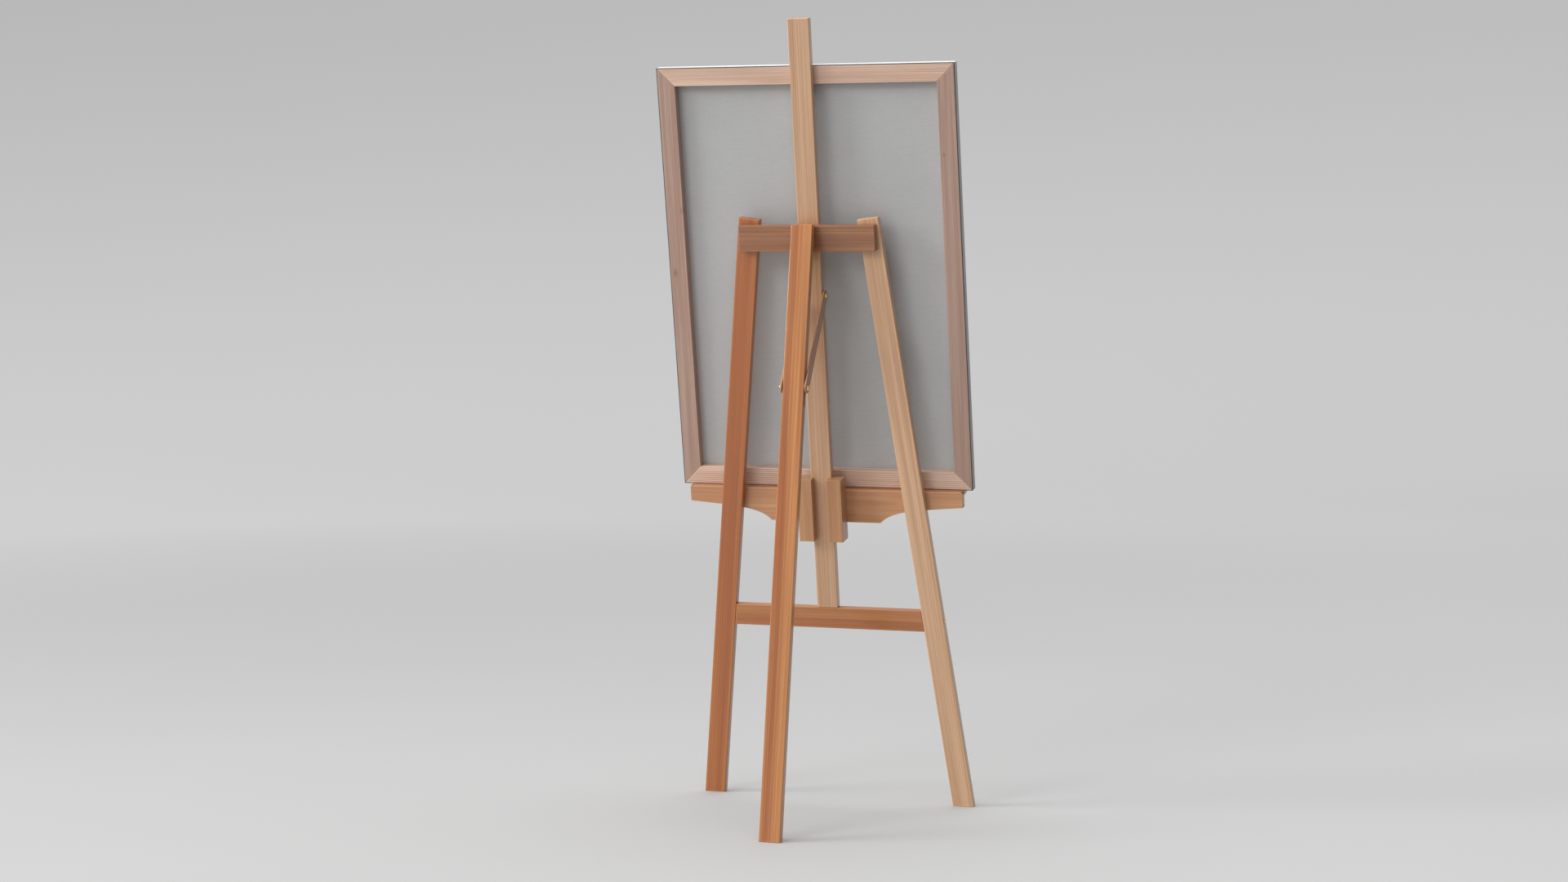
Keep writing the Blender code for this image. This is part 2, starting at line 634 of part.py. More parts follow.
def build_canvas(canvas):
    half = BAR_HALF_W
    bars = {
        "stretcher_bottom": mitred_bar(True, -half, half, BAR_BOTTOM, 1),
        "stretcher_top": mitred_bar(True, -half, half, BAR_TOP, -1),
        "stretcher_left": mitred_bar(False, BAR_BOTTOM, BAR_TOP, half, -1),
        "stretcher_right": mitred_bar(False, BAR_BOTTOM, BAR_TOP, -half, 1),
    }
    for name, bar in bars.items():
        piece(name, bar, canvas, PINE)
    front = -BAR_T - GAP - CLOTH_T
    sheet = box((-CANVAS_W / 2, front, 0), (CANVAS_W / 2, front + CLOTH_T, CANVAS_H), 0)
    piece("canvas_cloth", sheet, canvas, LINEN)


def main():
    clear_scene()
    frame = axis_empty("front_frame", (0, FRAME_Y, 0), -LEAN)
    rear = axis_empty("leg_fold_axis", (0, FRAME_Y + PIN_BEHIND, PIN_UP), REAR_LEAN)
    stays = axis_empty("stay_swing_axis", (0, MID_Y, STAY_MAST_Z), STAY_ANGLE, frame)
    tray = axis_empty("tray_slide_axis", (0, 0, APRON_TOP), 0, frame)
    canvas = axis_empty("canvas_lift_axis", (0, CANVAS_Y, CANVAS_Z - APRON_TOP), -CANVAS_TILT, tray)
    build_front_frame(frame)
    build_hinge(frame, rear)
    build_rear_leg(rear)
    build_stays(frame, stays)
    knob_place = build_tray(tray)
    build_knob(axis_empty("knob_turn_axis", knob_place, 0, tray))
    build_canvas(canvas)


main()
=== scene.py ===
"""Looks of the studio easel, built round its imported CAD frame.

Lengths are metres.  The painter stands at -Y and the camera looks at the easel's back, from +Y.
Each wooden member is rebuilt from the planes of its CAD node, with finer rounding and a grain that
follows its own length.  The fasteners, the hinge, the knob and the canvas are rebuilt finer too.
"""

import json
from collections import namedtuple
from math import acos, cos, pi, radians, sin

import bmesh
import bpy
import numpy as np
from mathutils import Matrix, Vector, noise


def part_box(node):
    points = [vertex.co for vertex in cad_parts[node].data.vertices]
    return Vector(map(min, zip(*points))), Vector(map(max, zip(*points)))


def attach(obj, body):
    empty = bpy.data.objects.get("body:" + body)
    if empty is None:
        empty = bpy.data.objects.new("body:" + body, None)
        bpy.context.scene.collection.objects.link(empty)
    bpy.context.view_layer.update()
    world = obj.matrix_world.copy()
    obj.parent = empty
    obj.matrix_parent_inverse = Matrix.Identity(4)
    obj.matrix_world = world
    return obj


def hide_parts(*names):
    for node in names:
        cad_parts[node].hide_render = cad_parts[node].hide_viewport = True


MM = 0.001
ALIKE = 0.5 * MM                  # planes and points of the CAD nearer than this count as one
X_AXIS = Vector((1, 0, 0))
Z_AXIS = Vector((0, 0, 1))
WHITE = (1.0, 1.0, 1.0, 1.0)
SIDES = ("left", "right")
LEVELS = ("lower", "upper")

# ---- camera, stage and light ----
CAMERA_PLACE = (-2.0734, 6.6215, 1.4145)
CAMERA_YAW = radians(17.836)      # towards +X from looking along -Y
CAMERA_DOWN = radians(3.878)
CAMERA_LENS = 64.67
STAGE_RADIUS = 9.5                # flat floor, before it sweeps up into the wall
STAGE_SWEEP = 3.0                 # radius of that curve
STAGE_HEIGHT = 9.0
STAGE_SIDES = 96
FLOOR_GREY = 0.60                 # at the easel
WALL_GREY = 0.30                  # from EVEN_FROM outwards
WALL_GLOW = 0.355                 # the wall's own light, so that it is even behind every view
EVEN_FROM = 8.0                   # here the floor's look has become the wall's
FLOOR_TILT = -0.055               # painted light and shade, evening out the lamps: change of brightness for each metre towards +X
WALL_TILT = 0.011
WALL_DROP = (0.2, 4.0, 1.0, 0.86)      # painted shade higher up: from one height to another, and the brightness at each
ROOM_BASE = 0.02                  # the room's glow from every side
ROOM_GLOW = (((0.6, 0.8, 0), 0.93), ((0, -1, 0), 0.45), ((0, 0, 1), 0.50))      # direction, strength
LAMPS = (("key", (5.8, 2.9, 4.2), 2.6, 165.0), ("fill", (3.4, 7.0, 5.2), 3.2, 112.0),
         ("top", (0.0, 0.0, 6.5), 4.0, 105.0))         # name, place, width, watts
RIM = ("rim", (6.5, -1.5, 2.5), 1.6, 120.0)            # lights the object's edges, not the stage
LAMP_TARGET = (0.0, 0.0, 0.9)

# ---- timber ----
TIMBER_EASE = 2.1 * MM            # rounding of the edges
BOARD_EASE = 1.5 * MM
BLOCK_EASE = 1.0 * MM
TIMBER_STEPS = 4
WEAR_AND_HIGHLIGHT_BAND = 2.6 * MM              # worn and painted as a highlight beside each rounded edge
EASED = radians(25)               # a bend beyond this is rounded
SHARP = radians(38)               # a bend beyond this is shaded as an edge

# ---- cutters ----
CUTTER_SIDES = 32
CUTTER_REACH = 50.0 * MM          # longer than any hole here
OVERSHOOT = 3.0 * MM              # past the face that a recess or slot starts from
HEAD_PLAY = 0.25 * MM             # round a screw's head
RECESS_DEPTH = 0.8                # of the head's radius
RECESS_FOOT = 0.4                 # radius at its foot, of roughly the head's
WELL_PLAY = 1.0 * MM              # round a mast foot screw's head
WELL_DEPTH = 12.0 * MM            # from that head out through the brace's edge
WELL_SEAT = 3.0 * MM              # cone under that head
SLOT_BAND = 6.0 * MM              # the rear leg's slot lies within this of its middle

# ---- fasteners and hinge ----
ROUND = 40                        # sides of a small turned piece
CAD_RIM = cos(pi / 12)            # of the radius: the height that a CAD disc of 12 sides reaches
BOLT_R = 3.0 * MM                 # the bolts' shanks and the knob's stud
BOLT_BORE_R = 3.3 * MM
BOLT_END = 0.4 * MM               # softened end of a bolt's shank
STUD_PITCH = 1.0 * MM
SCREW_SHANK = 0.52                # of the head's radius
SCREW_SINK = 0.60                 # depth of the head's cone, of its radius
SCREW_RIM = 0.35 * MM             # straight rim of the head
SCREW_EASE = 0.15 * MM            # softened edge of that rim
THREAD_FROM = 0.4                 # of the screw's length
SLOT_WIDTH = 0.9 * MM
SLOT_DEPTH = 0.8 * MM
THREAD_PITCH = 1.7 * MM
THREAD_CUT = 0.78                 # root radius, of the shank's
FLANGE = 0.9 * MM                 # straight rim under a domed head
FLANGE_EASE = 0.2 * MM            # softened edge of that rim
KNUCKLE_R = 4.2 * MM
LEAF_T = 1.8 * MM
LEAF_CORNER = 3.0 * MM
LEAF_EASE = 0.25 * MM
LEAF_CLEAR = 1.0 * MM             # from the knuckles to the flat plate
LEAF_LAP = 0.8 * MM               # of each knuckle into the plate
LEAF_SINK = 0.05 * MM             # from the plate's faces to that lap
KNUCKLES = 5
KNUCKLE_GAP = 0.15 * MM
PIN_R = 2.0 * MM
PIN_END = 0.5 * MM                # softened ends of the pin
PIN_PLAY = 0.3 * MM

# ---- stays, tray and knob ----
SCOOP_OUT = (28.0 * MM, 85.0 * MM)     # the scoop's two handles, outward from the flat's end
SCOOP_UP = (31.0 * MM, 35.0 * MM)      # and upward from the apron's lowest edge
APRON_CORNER = 4.0 * MM
INSERT_PLAY = 0.2 * MM            # round the threaded insert and the stud
STAY_EASE = 1.0 * MM
KNOB_SIDES = 120
KNOB_RIM = 3.5 * MM
KNOB_CROWN = 1.2 * MM
KNOB_LOBES = 6
KNOB_WAVE = 0.08

# ---- canvas ----
CLOTH_T = 0.6 * MM
CLOTH_BEND = 1.6 * MM
CLOTH_CELL = 22.0 * MM            # of the sheet's grid
CLOTH_SWELL = 0.25 * MM           # unevenness of the flat cloth
SWELL_RATE = 7                    # its waves in a metre
SWELL_EDGE = 5.0 * MM             # it stops this far from the sheet's edges
CLOTH_FRAY = 0.7 * MM             # unevenness of the cut edge
FRAY_RATE = 60                    # its waves in a metre
CLOTH_THREAD = 0.75 * MM
SIDE_EDGE_SHADE = 0.66                    # painted shade: the side edges' brightness, of the cloth's own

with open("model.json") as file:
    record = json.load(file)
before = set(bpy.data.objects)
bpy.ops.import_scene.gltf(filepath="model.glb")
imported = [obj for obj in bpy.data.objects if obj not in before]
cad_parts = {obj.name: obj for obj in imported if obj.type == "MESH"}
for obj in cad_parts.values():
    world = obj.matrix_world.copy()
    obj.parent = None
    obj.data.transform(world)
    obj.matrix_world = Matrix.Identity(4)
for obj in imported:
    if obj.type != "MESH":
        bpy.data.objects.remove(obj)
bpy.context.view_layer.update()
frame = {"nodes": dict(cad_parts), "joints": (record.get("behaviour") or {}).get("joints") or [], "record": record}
nodes = frame["nodes"]
bodies = frame["record"]["behaviour"]["bodies"]
body_of_node = {node: body for body, members in bodies.items() for node in members}
joints = {joint["name"]: joint for joint in frame["joints"]}

SLOPE = Vector(joints["tray_slide"]["axis"]).normalized()      # up the front frame
BEHIND = SLOPE.cross(X_AXIS).normalized()                      # out of its back
UPRIGHT = (X_AXIS, BEHIND, SLOPE)                              # grain up the frame
LEVEL = (SLOPE, -BEHIND, X_AXIS)                               # grain across it


# ---- reading the frame ----
def flat_faces(name):
    """The node's flat faces as (area, unit normal, distance from the origin), largest first."""
    found = {}
    for face in nodes[name].data.polygons:
        distance = face.normal.dot(face.center)
        key = (*(round(c, 2) for c in face.normal), round(distance / ALIKE))
        area, normal, offset = found.get(key, (0.0, Vector(), 0.0))
        size = face.area
        found[key] = (area + size, normal + face.normal * size, offset + distance * size)
    faces = [(area, normal.normalized(), offset / area)
             for area, normal, offset in found.values() if area > 0]
    return sorted(faces, key=lambda face: -face[0])


def member_axes(name):
    """Width, thickness and length directions of a prismatic member; length runs up or to +X."""
    faces = flat_faces(name)
    thickness = faces[0][1]
    across = next(normal for _, normal, _ in faces if abs(normal.dot(thickness)) < 0.2)
    width = (across - thickness * across.dot(thickness)).normalized()
    level = abs(width.z) > abs(width.x)
    if (width.z if level else width.x) < 0:
        width = -width
    if (thickness.y < 0) != level:
        thickness = -thickness
    return width, thickness, width.cross(thickness)


def extent(name, direction):
    """Lowest and highest reach of a node along a direction."""
    reach = [v.co.dot(direction) for v in nodes[name].data.vertices]
    return min(reach), max(reach)


def half_size(name, direction):
    low, high = extent(name, direction)
    return (high - low) / 2


def centre(name):
    low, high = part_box(name)
    return (Vector(low) + Vector(high)) / 2


def end_centre(name, direction):
    """The middle of a node's near end, for a piece that runs in this direction."""
    middle = centre(name)
    return middle + direction * (extent(name, direction)[0] - middle.dot(direction))


class Axle:
    """The axis of a turned node: from its head end (the widest) along to its tip.

    radius is the head's, and seat is how far the head's rim reaches along the axis.
    """

    def __init__(self, name):
        points = np.array([v.co for v in nodes[name].data.vertices])
        middle = points.mean(0)
        along = np.linalg.svd(points - middle)[2][0]
        heights = (points - middle) @ along
        away = np.linalg.norm(points - middle - np.outer(heights, along), axis=1)
        if heights[away.argmax()] > 0:
            along, heights = -along, -heights
        self.radius = float(away.max())
        self.seat = float(heights[away > self.radius * 0.98].max() - heights.min())
        self.length = float(heights.max() - heights.min())
        self.start = Vector(middle + along * heights.min())
        self.along = Vector(along)


# ---- mesh helpers ----
def mesh_from(bm, name="part"):
    mesh = bpy.data.meshes.new(name)
    bm.to_mesh(mesh)
    bm.free()
    return mesh


def placed(name, data):
    """A new object in the scene."""
    obj = bpy.data.objects.new(name, data)
    bpy.context.scene.collection.objects.link(obj)
    return obj


def piece(name, bm, node, *materials):
    """Makes a bmesh in world space a piece that stands for a CAD node and rides with its body."""
    bmesh.ops.recalc_face_normals(bm, faces=bm.faces)
    mesh = mesh_from(bm, name)
    mesh.shade_smooth()
    mesh.set_sharp_from_angle(angle=SHARP)
    for made in materials:
        mesh.materials.append(made)
    obj = placed(name, mesh)
    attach(obj, body_of_node[node])
    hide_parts(node)
    return obj


def gathered(parts):
    """Several separate shells in one bmesh."""
    whole = bmesh.new()
    for part in parts:
        mesh = mesh_from(part)
        whole.from_mesh(mesh)
        bpy.data.meshes.remove(mesh)
    return whole


def combine(obj, parts, operation="DIFFERENCE"):
    """Cuts closed shapes out of a piece, or joins them to it, and keeps the result as its mesh."""
    for group in (parts if operation == "UNION" else [gathered(parts)]):
        tool = placed("tool", mesh_from(group))
        step = obj.modifiers.new("combine", "BOOLEAN")
        step.operation = operation
        step.solver = "EXACT"
        step.object = tool
        bpy.context.view_layer.update()
        evaluated = obj.evaluated_get(bpy.context.evaluated_depsgraph_get())
        result = bpy.data.meshes.new_from_object(evaluated)
        obj.modifiers.remove(step)
        obj.data = result
        bpy.data.objects.remove(tool)
    obj.data.shade_smooth()
    obj.data.set_sharp_from_angle(angle=SHARP)


def evened(obj):
    """Keeps large flat faces evenly shaded beside their rounded edges."""
    step = obj.modifiers.new("even", "WEIGHTED_NORMAL")
    step.keep_sharp = True
    step.weight = 60


def rounded(bm, ease, steps=TIMBER_STEPS, wear_and_highlight=True):
    """Rounds the sharp edges, and marks how near each vertex is to one in a layer, read as wear and a painted
    highlight.
    """
    bmesh.ops.recalc_face_normals(bm, faces=bm.faces)
    sharp = [edge for edge in bm.edges if edge.calc_face_angle(0) > EASED]
    made = bmesh.ops.bevel(bm, geom=sharp, offset=ease, segments=steps, profile=0.5,
                           affect="EDGES", clamp_overlap=True)
    if not wear_and_highlight:
        return bm
    layer = bm.verts.layers.float.new("wear_and_highlight")
    arcs = set(made["faces"])
    for face in arcs:
        for vert in face.verts:
            vert[layer] = 1.0
    flats = [face for face in bm.faces if face not in arcs]
    bmesh.ops.inset_individual(bm, faces=flats, thickness=WEAR_AND_HIGHLIGHT_BAND, use_even_offset=True)
    for face in flats:
        for vert in face.verts:
            vert[layer] = 0.0
    return bm


def bridge(bm, rings, sides):
    """Faces between each ring of vertices and the next; a single vertex closes a ring to a point."""
    for below, above in zip(rings, rings[1:]):
        for k in range(sides):
            m = (k + 1) % sides
            corners = [below[k % len(below)], below[m % len(below)],
                       above[m % len(above)], above[k % len(above)]]
            bm.faces.new(list(dict.fromkeys(corners)))


def circle(radius, sides):
    """Points (x, y) on a circle, or one point when the radius is 0."""
    angles = [2 * pi * k / sides for k in range(sides if radius > 0 else 1)]
    return [(radius * cos(angle), radius * sin(angle)) for angle in angles]


def turned(profile, start, direction, sides=ROUND, closed=False):
    """A profile of (radius, height) points turned about an axis.

    An open profile starts and ends on the axis; a closed one is a ring's section.
    """
    turn = Z_AXIS.rotation_difference(direction).to_matrix()
    bm = bmesh.new()
    rings = []
    for radius, height in profile:
        points = [Vector((x, y, height)) for x, y in circle(radius, sides)]
        rings.append([bm.verts.new(start + turn @ point) for point in points])
    bridge(bm, rings + rings[:1] if closed else rings, sides)
    bmesh.ops.recalc_face_normals(bm, faces=bm.faces)
    return bm


def bore(place, direction, radius):
    """A cutter for a round hole right through, about a point on its axis."""
    profile = [(0, -CUTTER_REACH), (radius, -CUTTER_REACH), (radius, CUTTER_REACH), (0, CUTTER_REACH)]
    return turned(profile, place, direction, CUTTER_SIDES)


def swept(outline, origin, first, second, along, length):
    """A closed outline of (a, b) points, in the plane of first and second, swept along."""
    bm = bmesh.new()
    ends = []
    for h in (0.0, length):
        ends.append([bm.verts.new(origin + first * a + second * b + along * h) for a, b in outline])
    for end in ends:
        bm.faces.new(end)
    bridge(bm, ends, len(outline))
    bmesh.ops.recalc_face_normals(bm, faces=bm.faces)
    return bm


def arc(middle, radius, first, last, steps):
    """Points on a circle in a plane, from one angle to another."""
    angles = [first + (last - first) * k / steps for k in range(steps + 1)]
    return [(middle[0] + radius * cos(angle), middle[1] + radius * sin(angle)) for angle in angles]


def slot_outline(low, high, radius, steps=16):
    """A slot's outline with round ends centred at (0, low) and (0, high)."""
    return arc((0, high), radius, 0, pi, steps) + arc((0, low), radius, pi, 2 * pi, steps)


# ---- shader helpers ----
def new_material(name):
    made = bpy.data.materials.new(name)
    made.use_nodes = True
    return made, made.node_tree, made.node_tree.nodes["Principled BSDF"]


def feed(tree, node, inputs):
    """Sets a node's inputs to values or links them to sockets."""
    for key, value in inputs.items():
        if isinstance(value, bpy.types.NodeSocket):
            tree.links.new(value, node.inputs[key])
        else:
            node.inputs[key].default_value = value


def add(tree, kind, inputs=None, **settings):
    node = tree.nodes.new(kind)
    for key, value in settings.items():
        setattr(node, key, value)
    feed(tree, node, inputs or {})
    return node


def calc(tree, operation, a, b=0.0, clamp=False):
    node = add(tree, "ShaderNodeMath", {0: a, 1: b}, operation=operation, use_clamp=clamp)
    return node.outputs[0]


def product(tree, a, b, clamp=False):
    return calc(tree, "MULTIPLY", a, b, clamp)


def total(tree, a, b, clamp=False):
    return calc(tree, "ADD", a, b, clamp)


def mixed(tree, operation, a, b):
    return add(tree, "ShaderNodeVectorMath", {0: a, 1: b}, operation=operation).outputs[0]


def measured(tree, operation, a, b=(0.0, 0.0, 0.0)):
    """A number worked out from vectors: a length or a dot product."""
    return add(tree, "ShaderNodeVectorMath", {0: a, 1: b}, operation=operation).outputs["Value"]


def cloudy(tree, vector, scale, detail=2.0, rough=0.5, distortion=0.0):
    """Noise whose frequency differs along the three axes."""
    node = add(tree, "ShaderNodeTexNoise", {
        "Vector": mixed(tree, "MULTIPLY", vector, scale), "Scale": 1.0, "Detail": detail,
        "Roughness": rough, "Distortion": distortion})
    return node.outputs["Fac"]


def spread(tree, value, low, high, to_low=0.0, to_high=1.0):
    """Stretches a value's range from low..high to to_low..to_high, with soft ends."""
    node = add(tree, "ShaderNodeMapRange", {
        "Value": value, "From Min": low, "From Max": high, "To Min": to_low, "To Max": to_high},
        interpolation_type="SMOOTHSTEP")
    return node.outputs["Result"]


def blended(tree, factor, a, b, mode="MIX"):
    sockets = {0: factor, 6: a, 7: b}
    return add(tree, "ShaderNodeMix", sockets, data_type="RGBA", blend_type=mode).outputs[2]


def grey(tree, value):
    return add(tree, "ShaderNodeCombineColor", {0: value, 1: value, 2: value}).outputs[0]


def shaded(tree, colour, value, amount):
    """Lightens and darkens a colour by a noise value, by amount from darkest to lightest."""
    shade = spread(tree, value, 0.25, 0.75, 1 - amount / 2, 1 + amount / 2)
    return blended(tree, 1.0, colour, grey(tree, shade), "MULTIPLY")


def rgba(colour, factor=1.0):
    return (*(min(1.0, c * factor) for c in colour), 1.0)


def bumped(tree, shader, height, strength, distance):
    bump = add(tree, "ShaderNodeBump", {"Height": height, "Strength": strength, "Distance": distance})
    feed(tree, shader, {"Normal": bump.outputs[0]})


# ---- wood ----
# Each wood has three colours, the frequency of its bands of colour (across, along), the width of its
# growth rings, and how strongly the rings and the fibres show.
Wood = namedtuple("Wood", "pale deep line band ring ring_depth fleck")
WOODS = {
    "orange": Wood((0.535, 0.183, 0.042), (0.437, 0.122, 0.023), (0.292, 0.070, 0.013),
                   (34.0, 0.9), 4.6 * MM, 0.16, 0.13),
    "amber": Wood((0.547, 0.215, 0.063), (0.445, 0.143, 0.036), (0.298, 0.082, 0.019),
                  (34.0, 0.9), 4.6 * MM, 0.14, 0.12),
    "deep orange": Wood((0.590, 0.240, 0.069), (0.432, 0.127, 0.028), (0.294, 0.077, 0.015),
                        (34.0, 0.9), 4.6 * MM, 0.16, 0.13),
    "tan": Wood((0.694, 0.427, 0.256), (0.589, 0.332, 0.176), (0.443, 0.228, 0.113),
                (70.0, 1.1), 3.4 * MM, 0.22, 0.12),
    "brown": Wood((0.372, 0.154, 0.061), (0.305, 0.116, 0.045), (0.204, 0.070, 0.024),
                  (60.0, 1.6), 5.0 * MM, 0.22, 0.16),
    "apron": Wood((0.652, 0.326, 0.142), (0.553, 0.253, 0.105), (0.419, 0.174, 0.068),
                  (24.0, 2.2), 9.0 * MM, 0.16, 0.08),
    "block": Wood((0.575, 0.288, 0.123), (0.494, 0.224, 0.089), (0.367, 0.152, 0.057),
                  (40.0, 2.0), 6.0 * MM, 0.10, 0.08),
    "stay": Wood((0.625, 0.348, 0.204), (0.450, 0.216, 0.114), (0.325, 0.144, 0.072),
                 (70.0, 1.6), 3.6 * MM, 0.20, 0.12),
    "pine": Wood((0.769, 0.540, 0.403), (0.664, 0.429, 0.310), (0.500, 0.292, 0.209),
                 (50.0, 2.0), 5.4 * MM, 0.30, 0.14),
    "lined pine": Wood((0.816, 0.577, 0.444), (0.725, 0.482, 0.353), (0.459, 0.268, 0.191),
                       (40.0, 1.2), 5.2 * MM, 0.52, 0.10),
    # pine painted darker as shade, for the side bars
    "pine in painted shade": Wood((0.497, 0.324, 0.247), (0.423, 0.252, 0.183), (0.307, 0.170, 0.124),
                      (60.0, 1.5), 4.4 * MM, 0.26, 0.16),
}
VARNISH, VARNISH_ROUGH = 0.8, 0.15
END_GRAIN = 0.10                  # how far the cut ends go towards the rings' colour
# painted shadow in the gap between a stretcher bar and the cloth's turned edge
GAP_SHADOW_COLOUR = (0.11, 0.085, 0.075)
KNOT_SHAPE = (1.0, 0.35, 0.55)    # knots reach through the member and stretch along the grain


def knot_reach(tree, local, place):
    away = mixed(tree, "MULTIPLY", mixed(tree, "SUBTRACT", local, place), KNOT_SHAPE)
    return measured(tree, "LENGTH", away)


def growth_rings(tree, local, look, pith, seed, knots):
    """Rings about a pith that wanders slowly along the member, pushed aside by each knot."""
    space = add(tree, "ShaderNodeMapping", {
        "Vector": local, "Location": (*pith, seed),
        "Rotation": (radians(0.5), radians(-0.4), 0)}).outputs[0]
    space = mixed(tree, "MULTIPLY", space, (1.0, 1.0, 0.05))
    for *place, radius in knots:
        reach = knot_reach(tree, local, place)
        bulge = spread(tree, reach, 0.0, radius * 3.2, radius * 0.9, 0.0)
        push = add(tree, "ShaderNodeCombineXYZ", {0: bulge}).outputs[0]
        space = mixed(tree, "ADD", space, push)
    return add(tree, "ShaderNodeTexWave", {
        "Vector": space, "Scale": 2 * pi / (20 * look.ring), "Distortion": 3.0, "Detail": 2.0,
        "Detail Scale": 0.22, "Detail Roughness": 0.55},
        wave_type="RINGS", rings_direction="Z", wave_profile="SAW").outputs["Fac"]


def heartwood(tree, grain, across, colour, deep, hearts):
    """Deep streaks (across, half width, strength) that wander together along the member."""
    drift = calc(tree, "SUBTRACT", cloudy(tree, grain, (0.0, 0.0, 1.4), 1.0), 0.5)
    fade = spread(tree, cloudy(tree, grain, (25.0, 25.0, 2.2), 2.0), 0.3, 0.7, 0.45, 1.15)
    for offset, half, strength in hearts:
        beside = calc(tree, "SUBTRACT", across, offset)
        beside = calc(tree, "SUBTRACT", beside, product(tree, drift, half * 3.0))
        beside = calc(tree, "ABSOLUTE", beside)
        heart = spread(tree, beside, half * 0.15, half, strength, 0.0)
        colour = blended(tree, product(tree, heart, fade, clamp=True), colour, deep)
    return colour


def wood(name, kind, axes, middle, seed, tint=1.0, pith=(0.035, -0.06), lean=0.0, hearts=(),
         knots=(), grime=0.0):
    """Solid wood whose grain runs along the third of the member's axes, about its middle.

    tint lightens the whole; pith is where the rings' centre lies across the member; lean deepens
    the colour towards the first axis; hearts are streaks of heartwood (across, half width,
    strength); knots are (across, through, along, radius); the last argument is a distance from the
    middle, and beyond it, on its side, the wood is painted dark as the shadow of a gap.
    """
    look = WOODS[kind]
    made, tree, shader = new_material(name)
    source = add(tree, "ShaderNodeTexCoord")
    local = add(tree, "ShaderNodeMapping", {
        "Vector": source.outputs["Object"], "Rotation": Matrix(axes).to_euler(),
        "Location": -(Matrix(axes) @ middle)}).outputs[0]
    grain = mixed(tree, "ADD", local, Vector((0.63, 1.04, 1.41)) * seed)
    across = add(tree, "ShaderNodeSeparateXYZ", {0: local}).outputs[0]

    wide, long = look.band
    bands = spread(tree, cloudy(tree, grain, (wide, wide, long), 2.5, 0.5, 0.2), 0.36, 0.64)
    bands = total(tree, bands, product(tree, across, lean), clamp=True)
    streaks = cloudy(tree, grain, (330.0, 330.0, 2.6), 3.0, 0.6)
    fibres = cloudy(tree, grain, (1500.0, 1500.0, 26.0), 2.0, 0.6)
    patches = cloudy(tree, grain, (9.0, 9.0, 4.0), 2.0)
    late = spread(tree, growth_rings(tree, local, look, pith, seed, knots), 0.2, 1.0)
    vary = spread(tree, patches, 0.35, 0.65, 0.55, 1.3)
    lines = product(tree, product(tree, late, vary), look.ring_depth * 1.6, clamp=True)

    colour = blended(tree, bands, rgba(look.pale, tint), rgba(look.deep, tint))
    colour = heartwood(tree, grain, across, colour, rgba(look.deep, 0.93 * tint), hearts)
    colour = blended(tree, lines, colour, rgba(look.line))
    colour = shaded(tree, colour, streaks, look.fleck * 1.8)
    colour = shaded(tree, colour, fibres, look.fleck)
    colour = shaded(tree, colour, patches, 0.08)
    for *place, radius in knots:
        reach = knot_reach(tree, local, place)
        dark = spread(tree, reach, radius * 0.1, radius * 1.5, 0.55, 0.0)
        colour = blended(tree, dark, colour, rgba(look.line, 0.6))

    # edges lighter from wear and a painted highlight, the painted shadow of a gap, and darker end grain
    edge_wear_and_highlight = add(tree, "ShaderNodeAttribute", attribute_name="wear_and_highlight").outputs["Fac"]
    # rounded edges painted lighter: partly wear, partly a painted highlight
    rub_and_highlight = product(tree, edge_wear_and_highlight, product(tree, streaks, 0.8), clamp=True)
    colour = blended(tree, rub_and_highlight, colour, rgba(look.pale, 1.16 * tint))
    # painted shadow of the gap between a bar's outer edge and the cloth
    if grime:
        beyond = product(tree, across, 1.0 if grime > 0 else -1.0)
        painted_gap_shadow = spread(tree, beyond, abs(grime), abs(grime) + 0.7 * MM, 0.0, 0.85)
        colour = blended(tree, painted_gap_shadow, colour, rgba(GAP_SHADOW_COLOUR))
    facing = measured(tree, "DOT_PRODUCT", source.outputs["Normal"], axes[2])
    end = spread(tree, calc(tree, "ABSOLUTE", facing), 0.75, 0.95, 0.0, END_GRAIN)
    colour = blended(tree, end, colour, rgba(look.line))

    feed(tree, shader, {
        "Base Color": colour, "Roughness": spread(tree, streaks, 0.2, 0.8, 0.40, 0.56),
        "Coat Weight": VARNISH, "Coat Roughness": VARNISH_ROUGH})
    height = total(tree, product(tree, fibres, 0.6), product(tree, late, -0.4))
    bumped(tree, shader, height, 0.2, 0.35 * MM)
    return made


# ---- metal and cloth ----
def metal(name, colour, rough):
    made, tree, shader = new_material(name)
    source = add(tree, "ShaderNodeTexCoord").outputs["Object"]
    scuffs = cloudy(tree, source, (900.0, 900.0, 320.0), 3.0, 0.6)
    stains = cloudy(tree, source, (140.0, 140.0, 140.0), 3.0, 0.6)
    feed(tree, shader, {
        "Base Color": shaded(tree, rgba(colour), stains, 0.30), "Metallic": 1.0,
        "Roughness": spread(tree, scuffs, 0.25, 0.75, rough * 0.7, rough * 1.4)})
    bumped(tree, shader, scuffs, 0.08, 0.1 * MM)
    return made


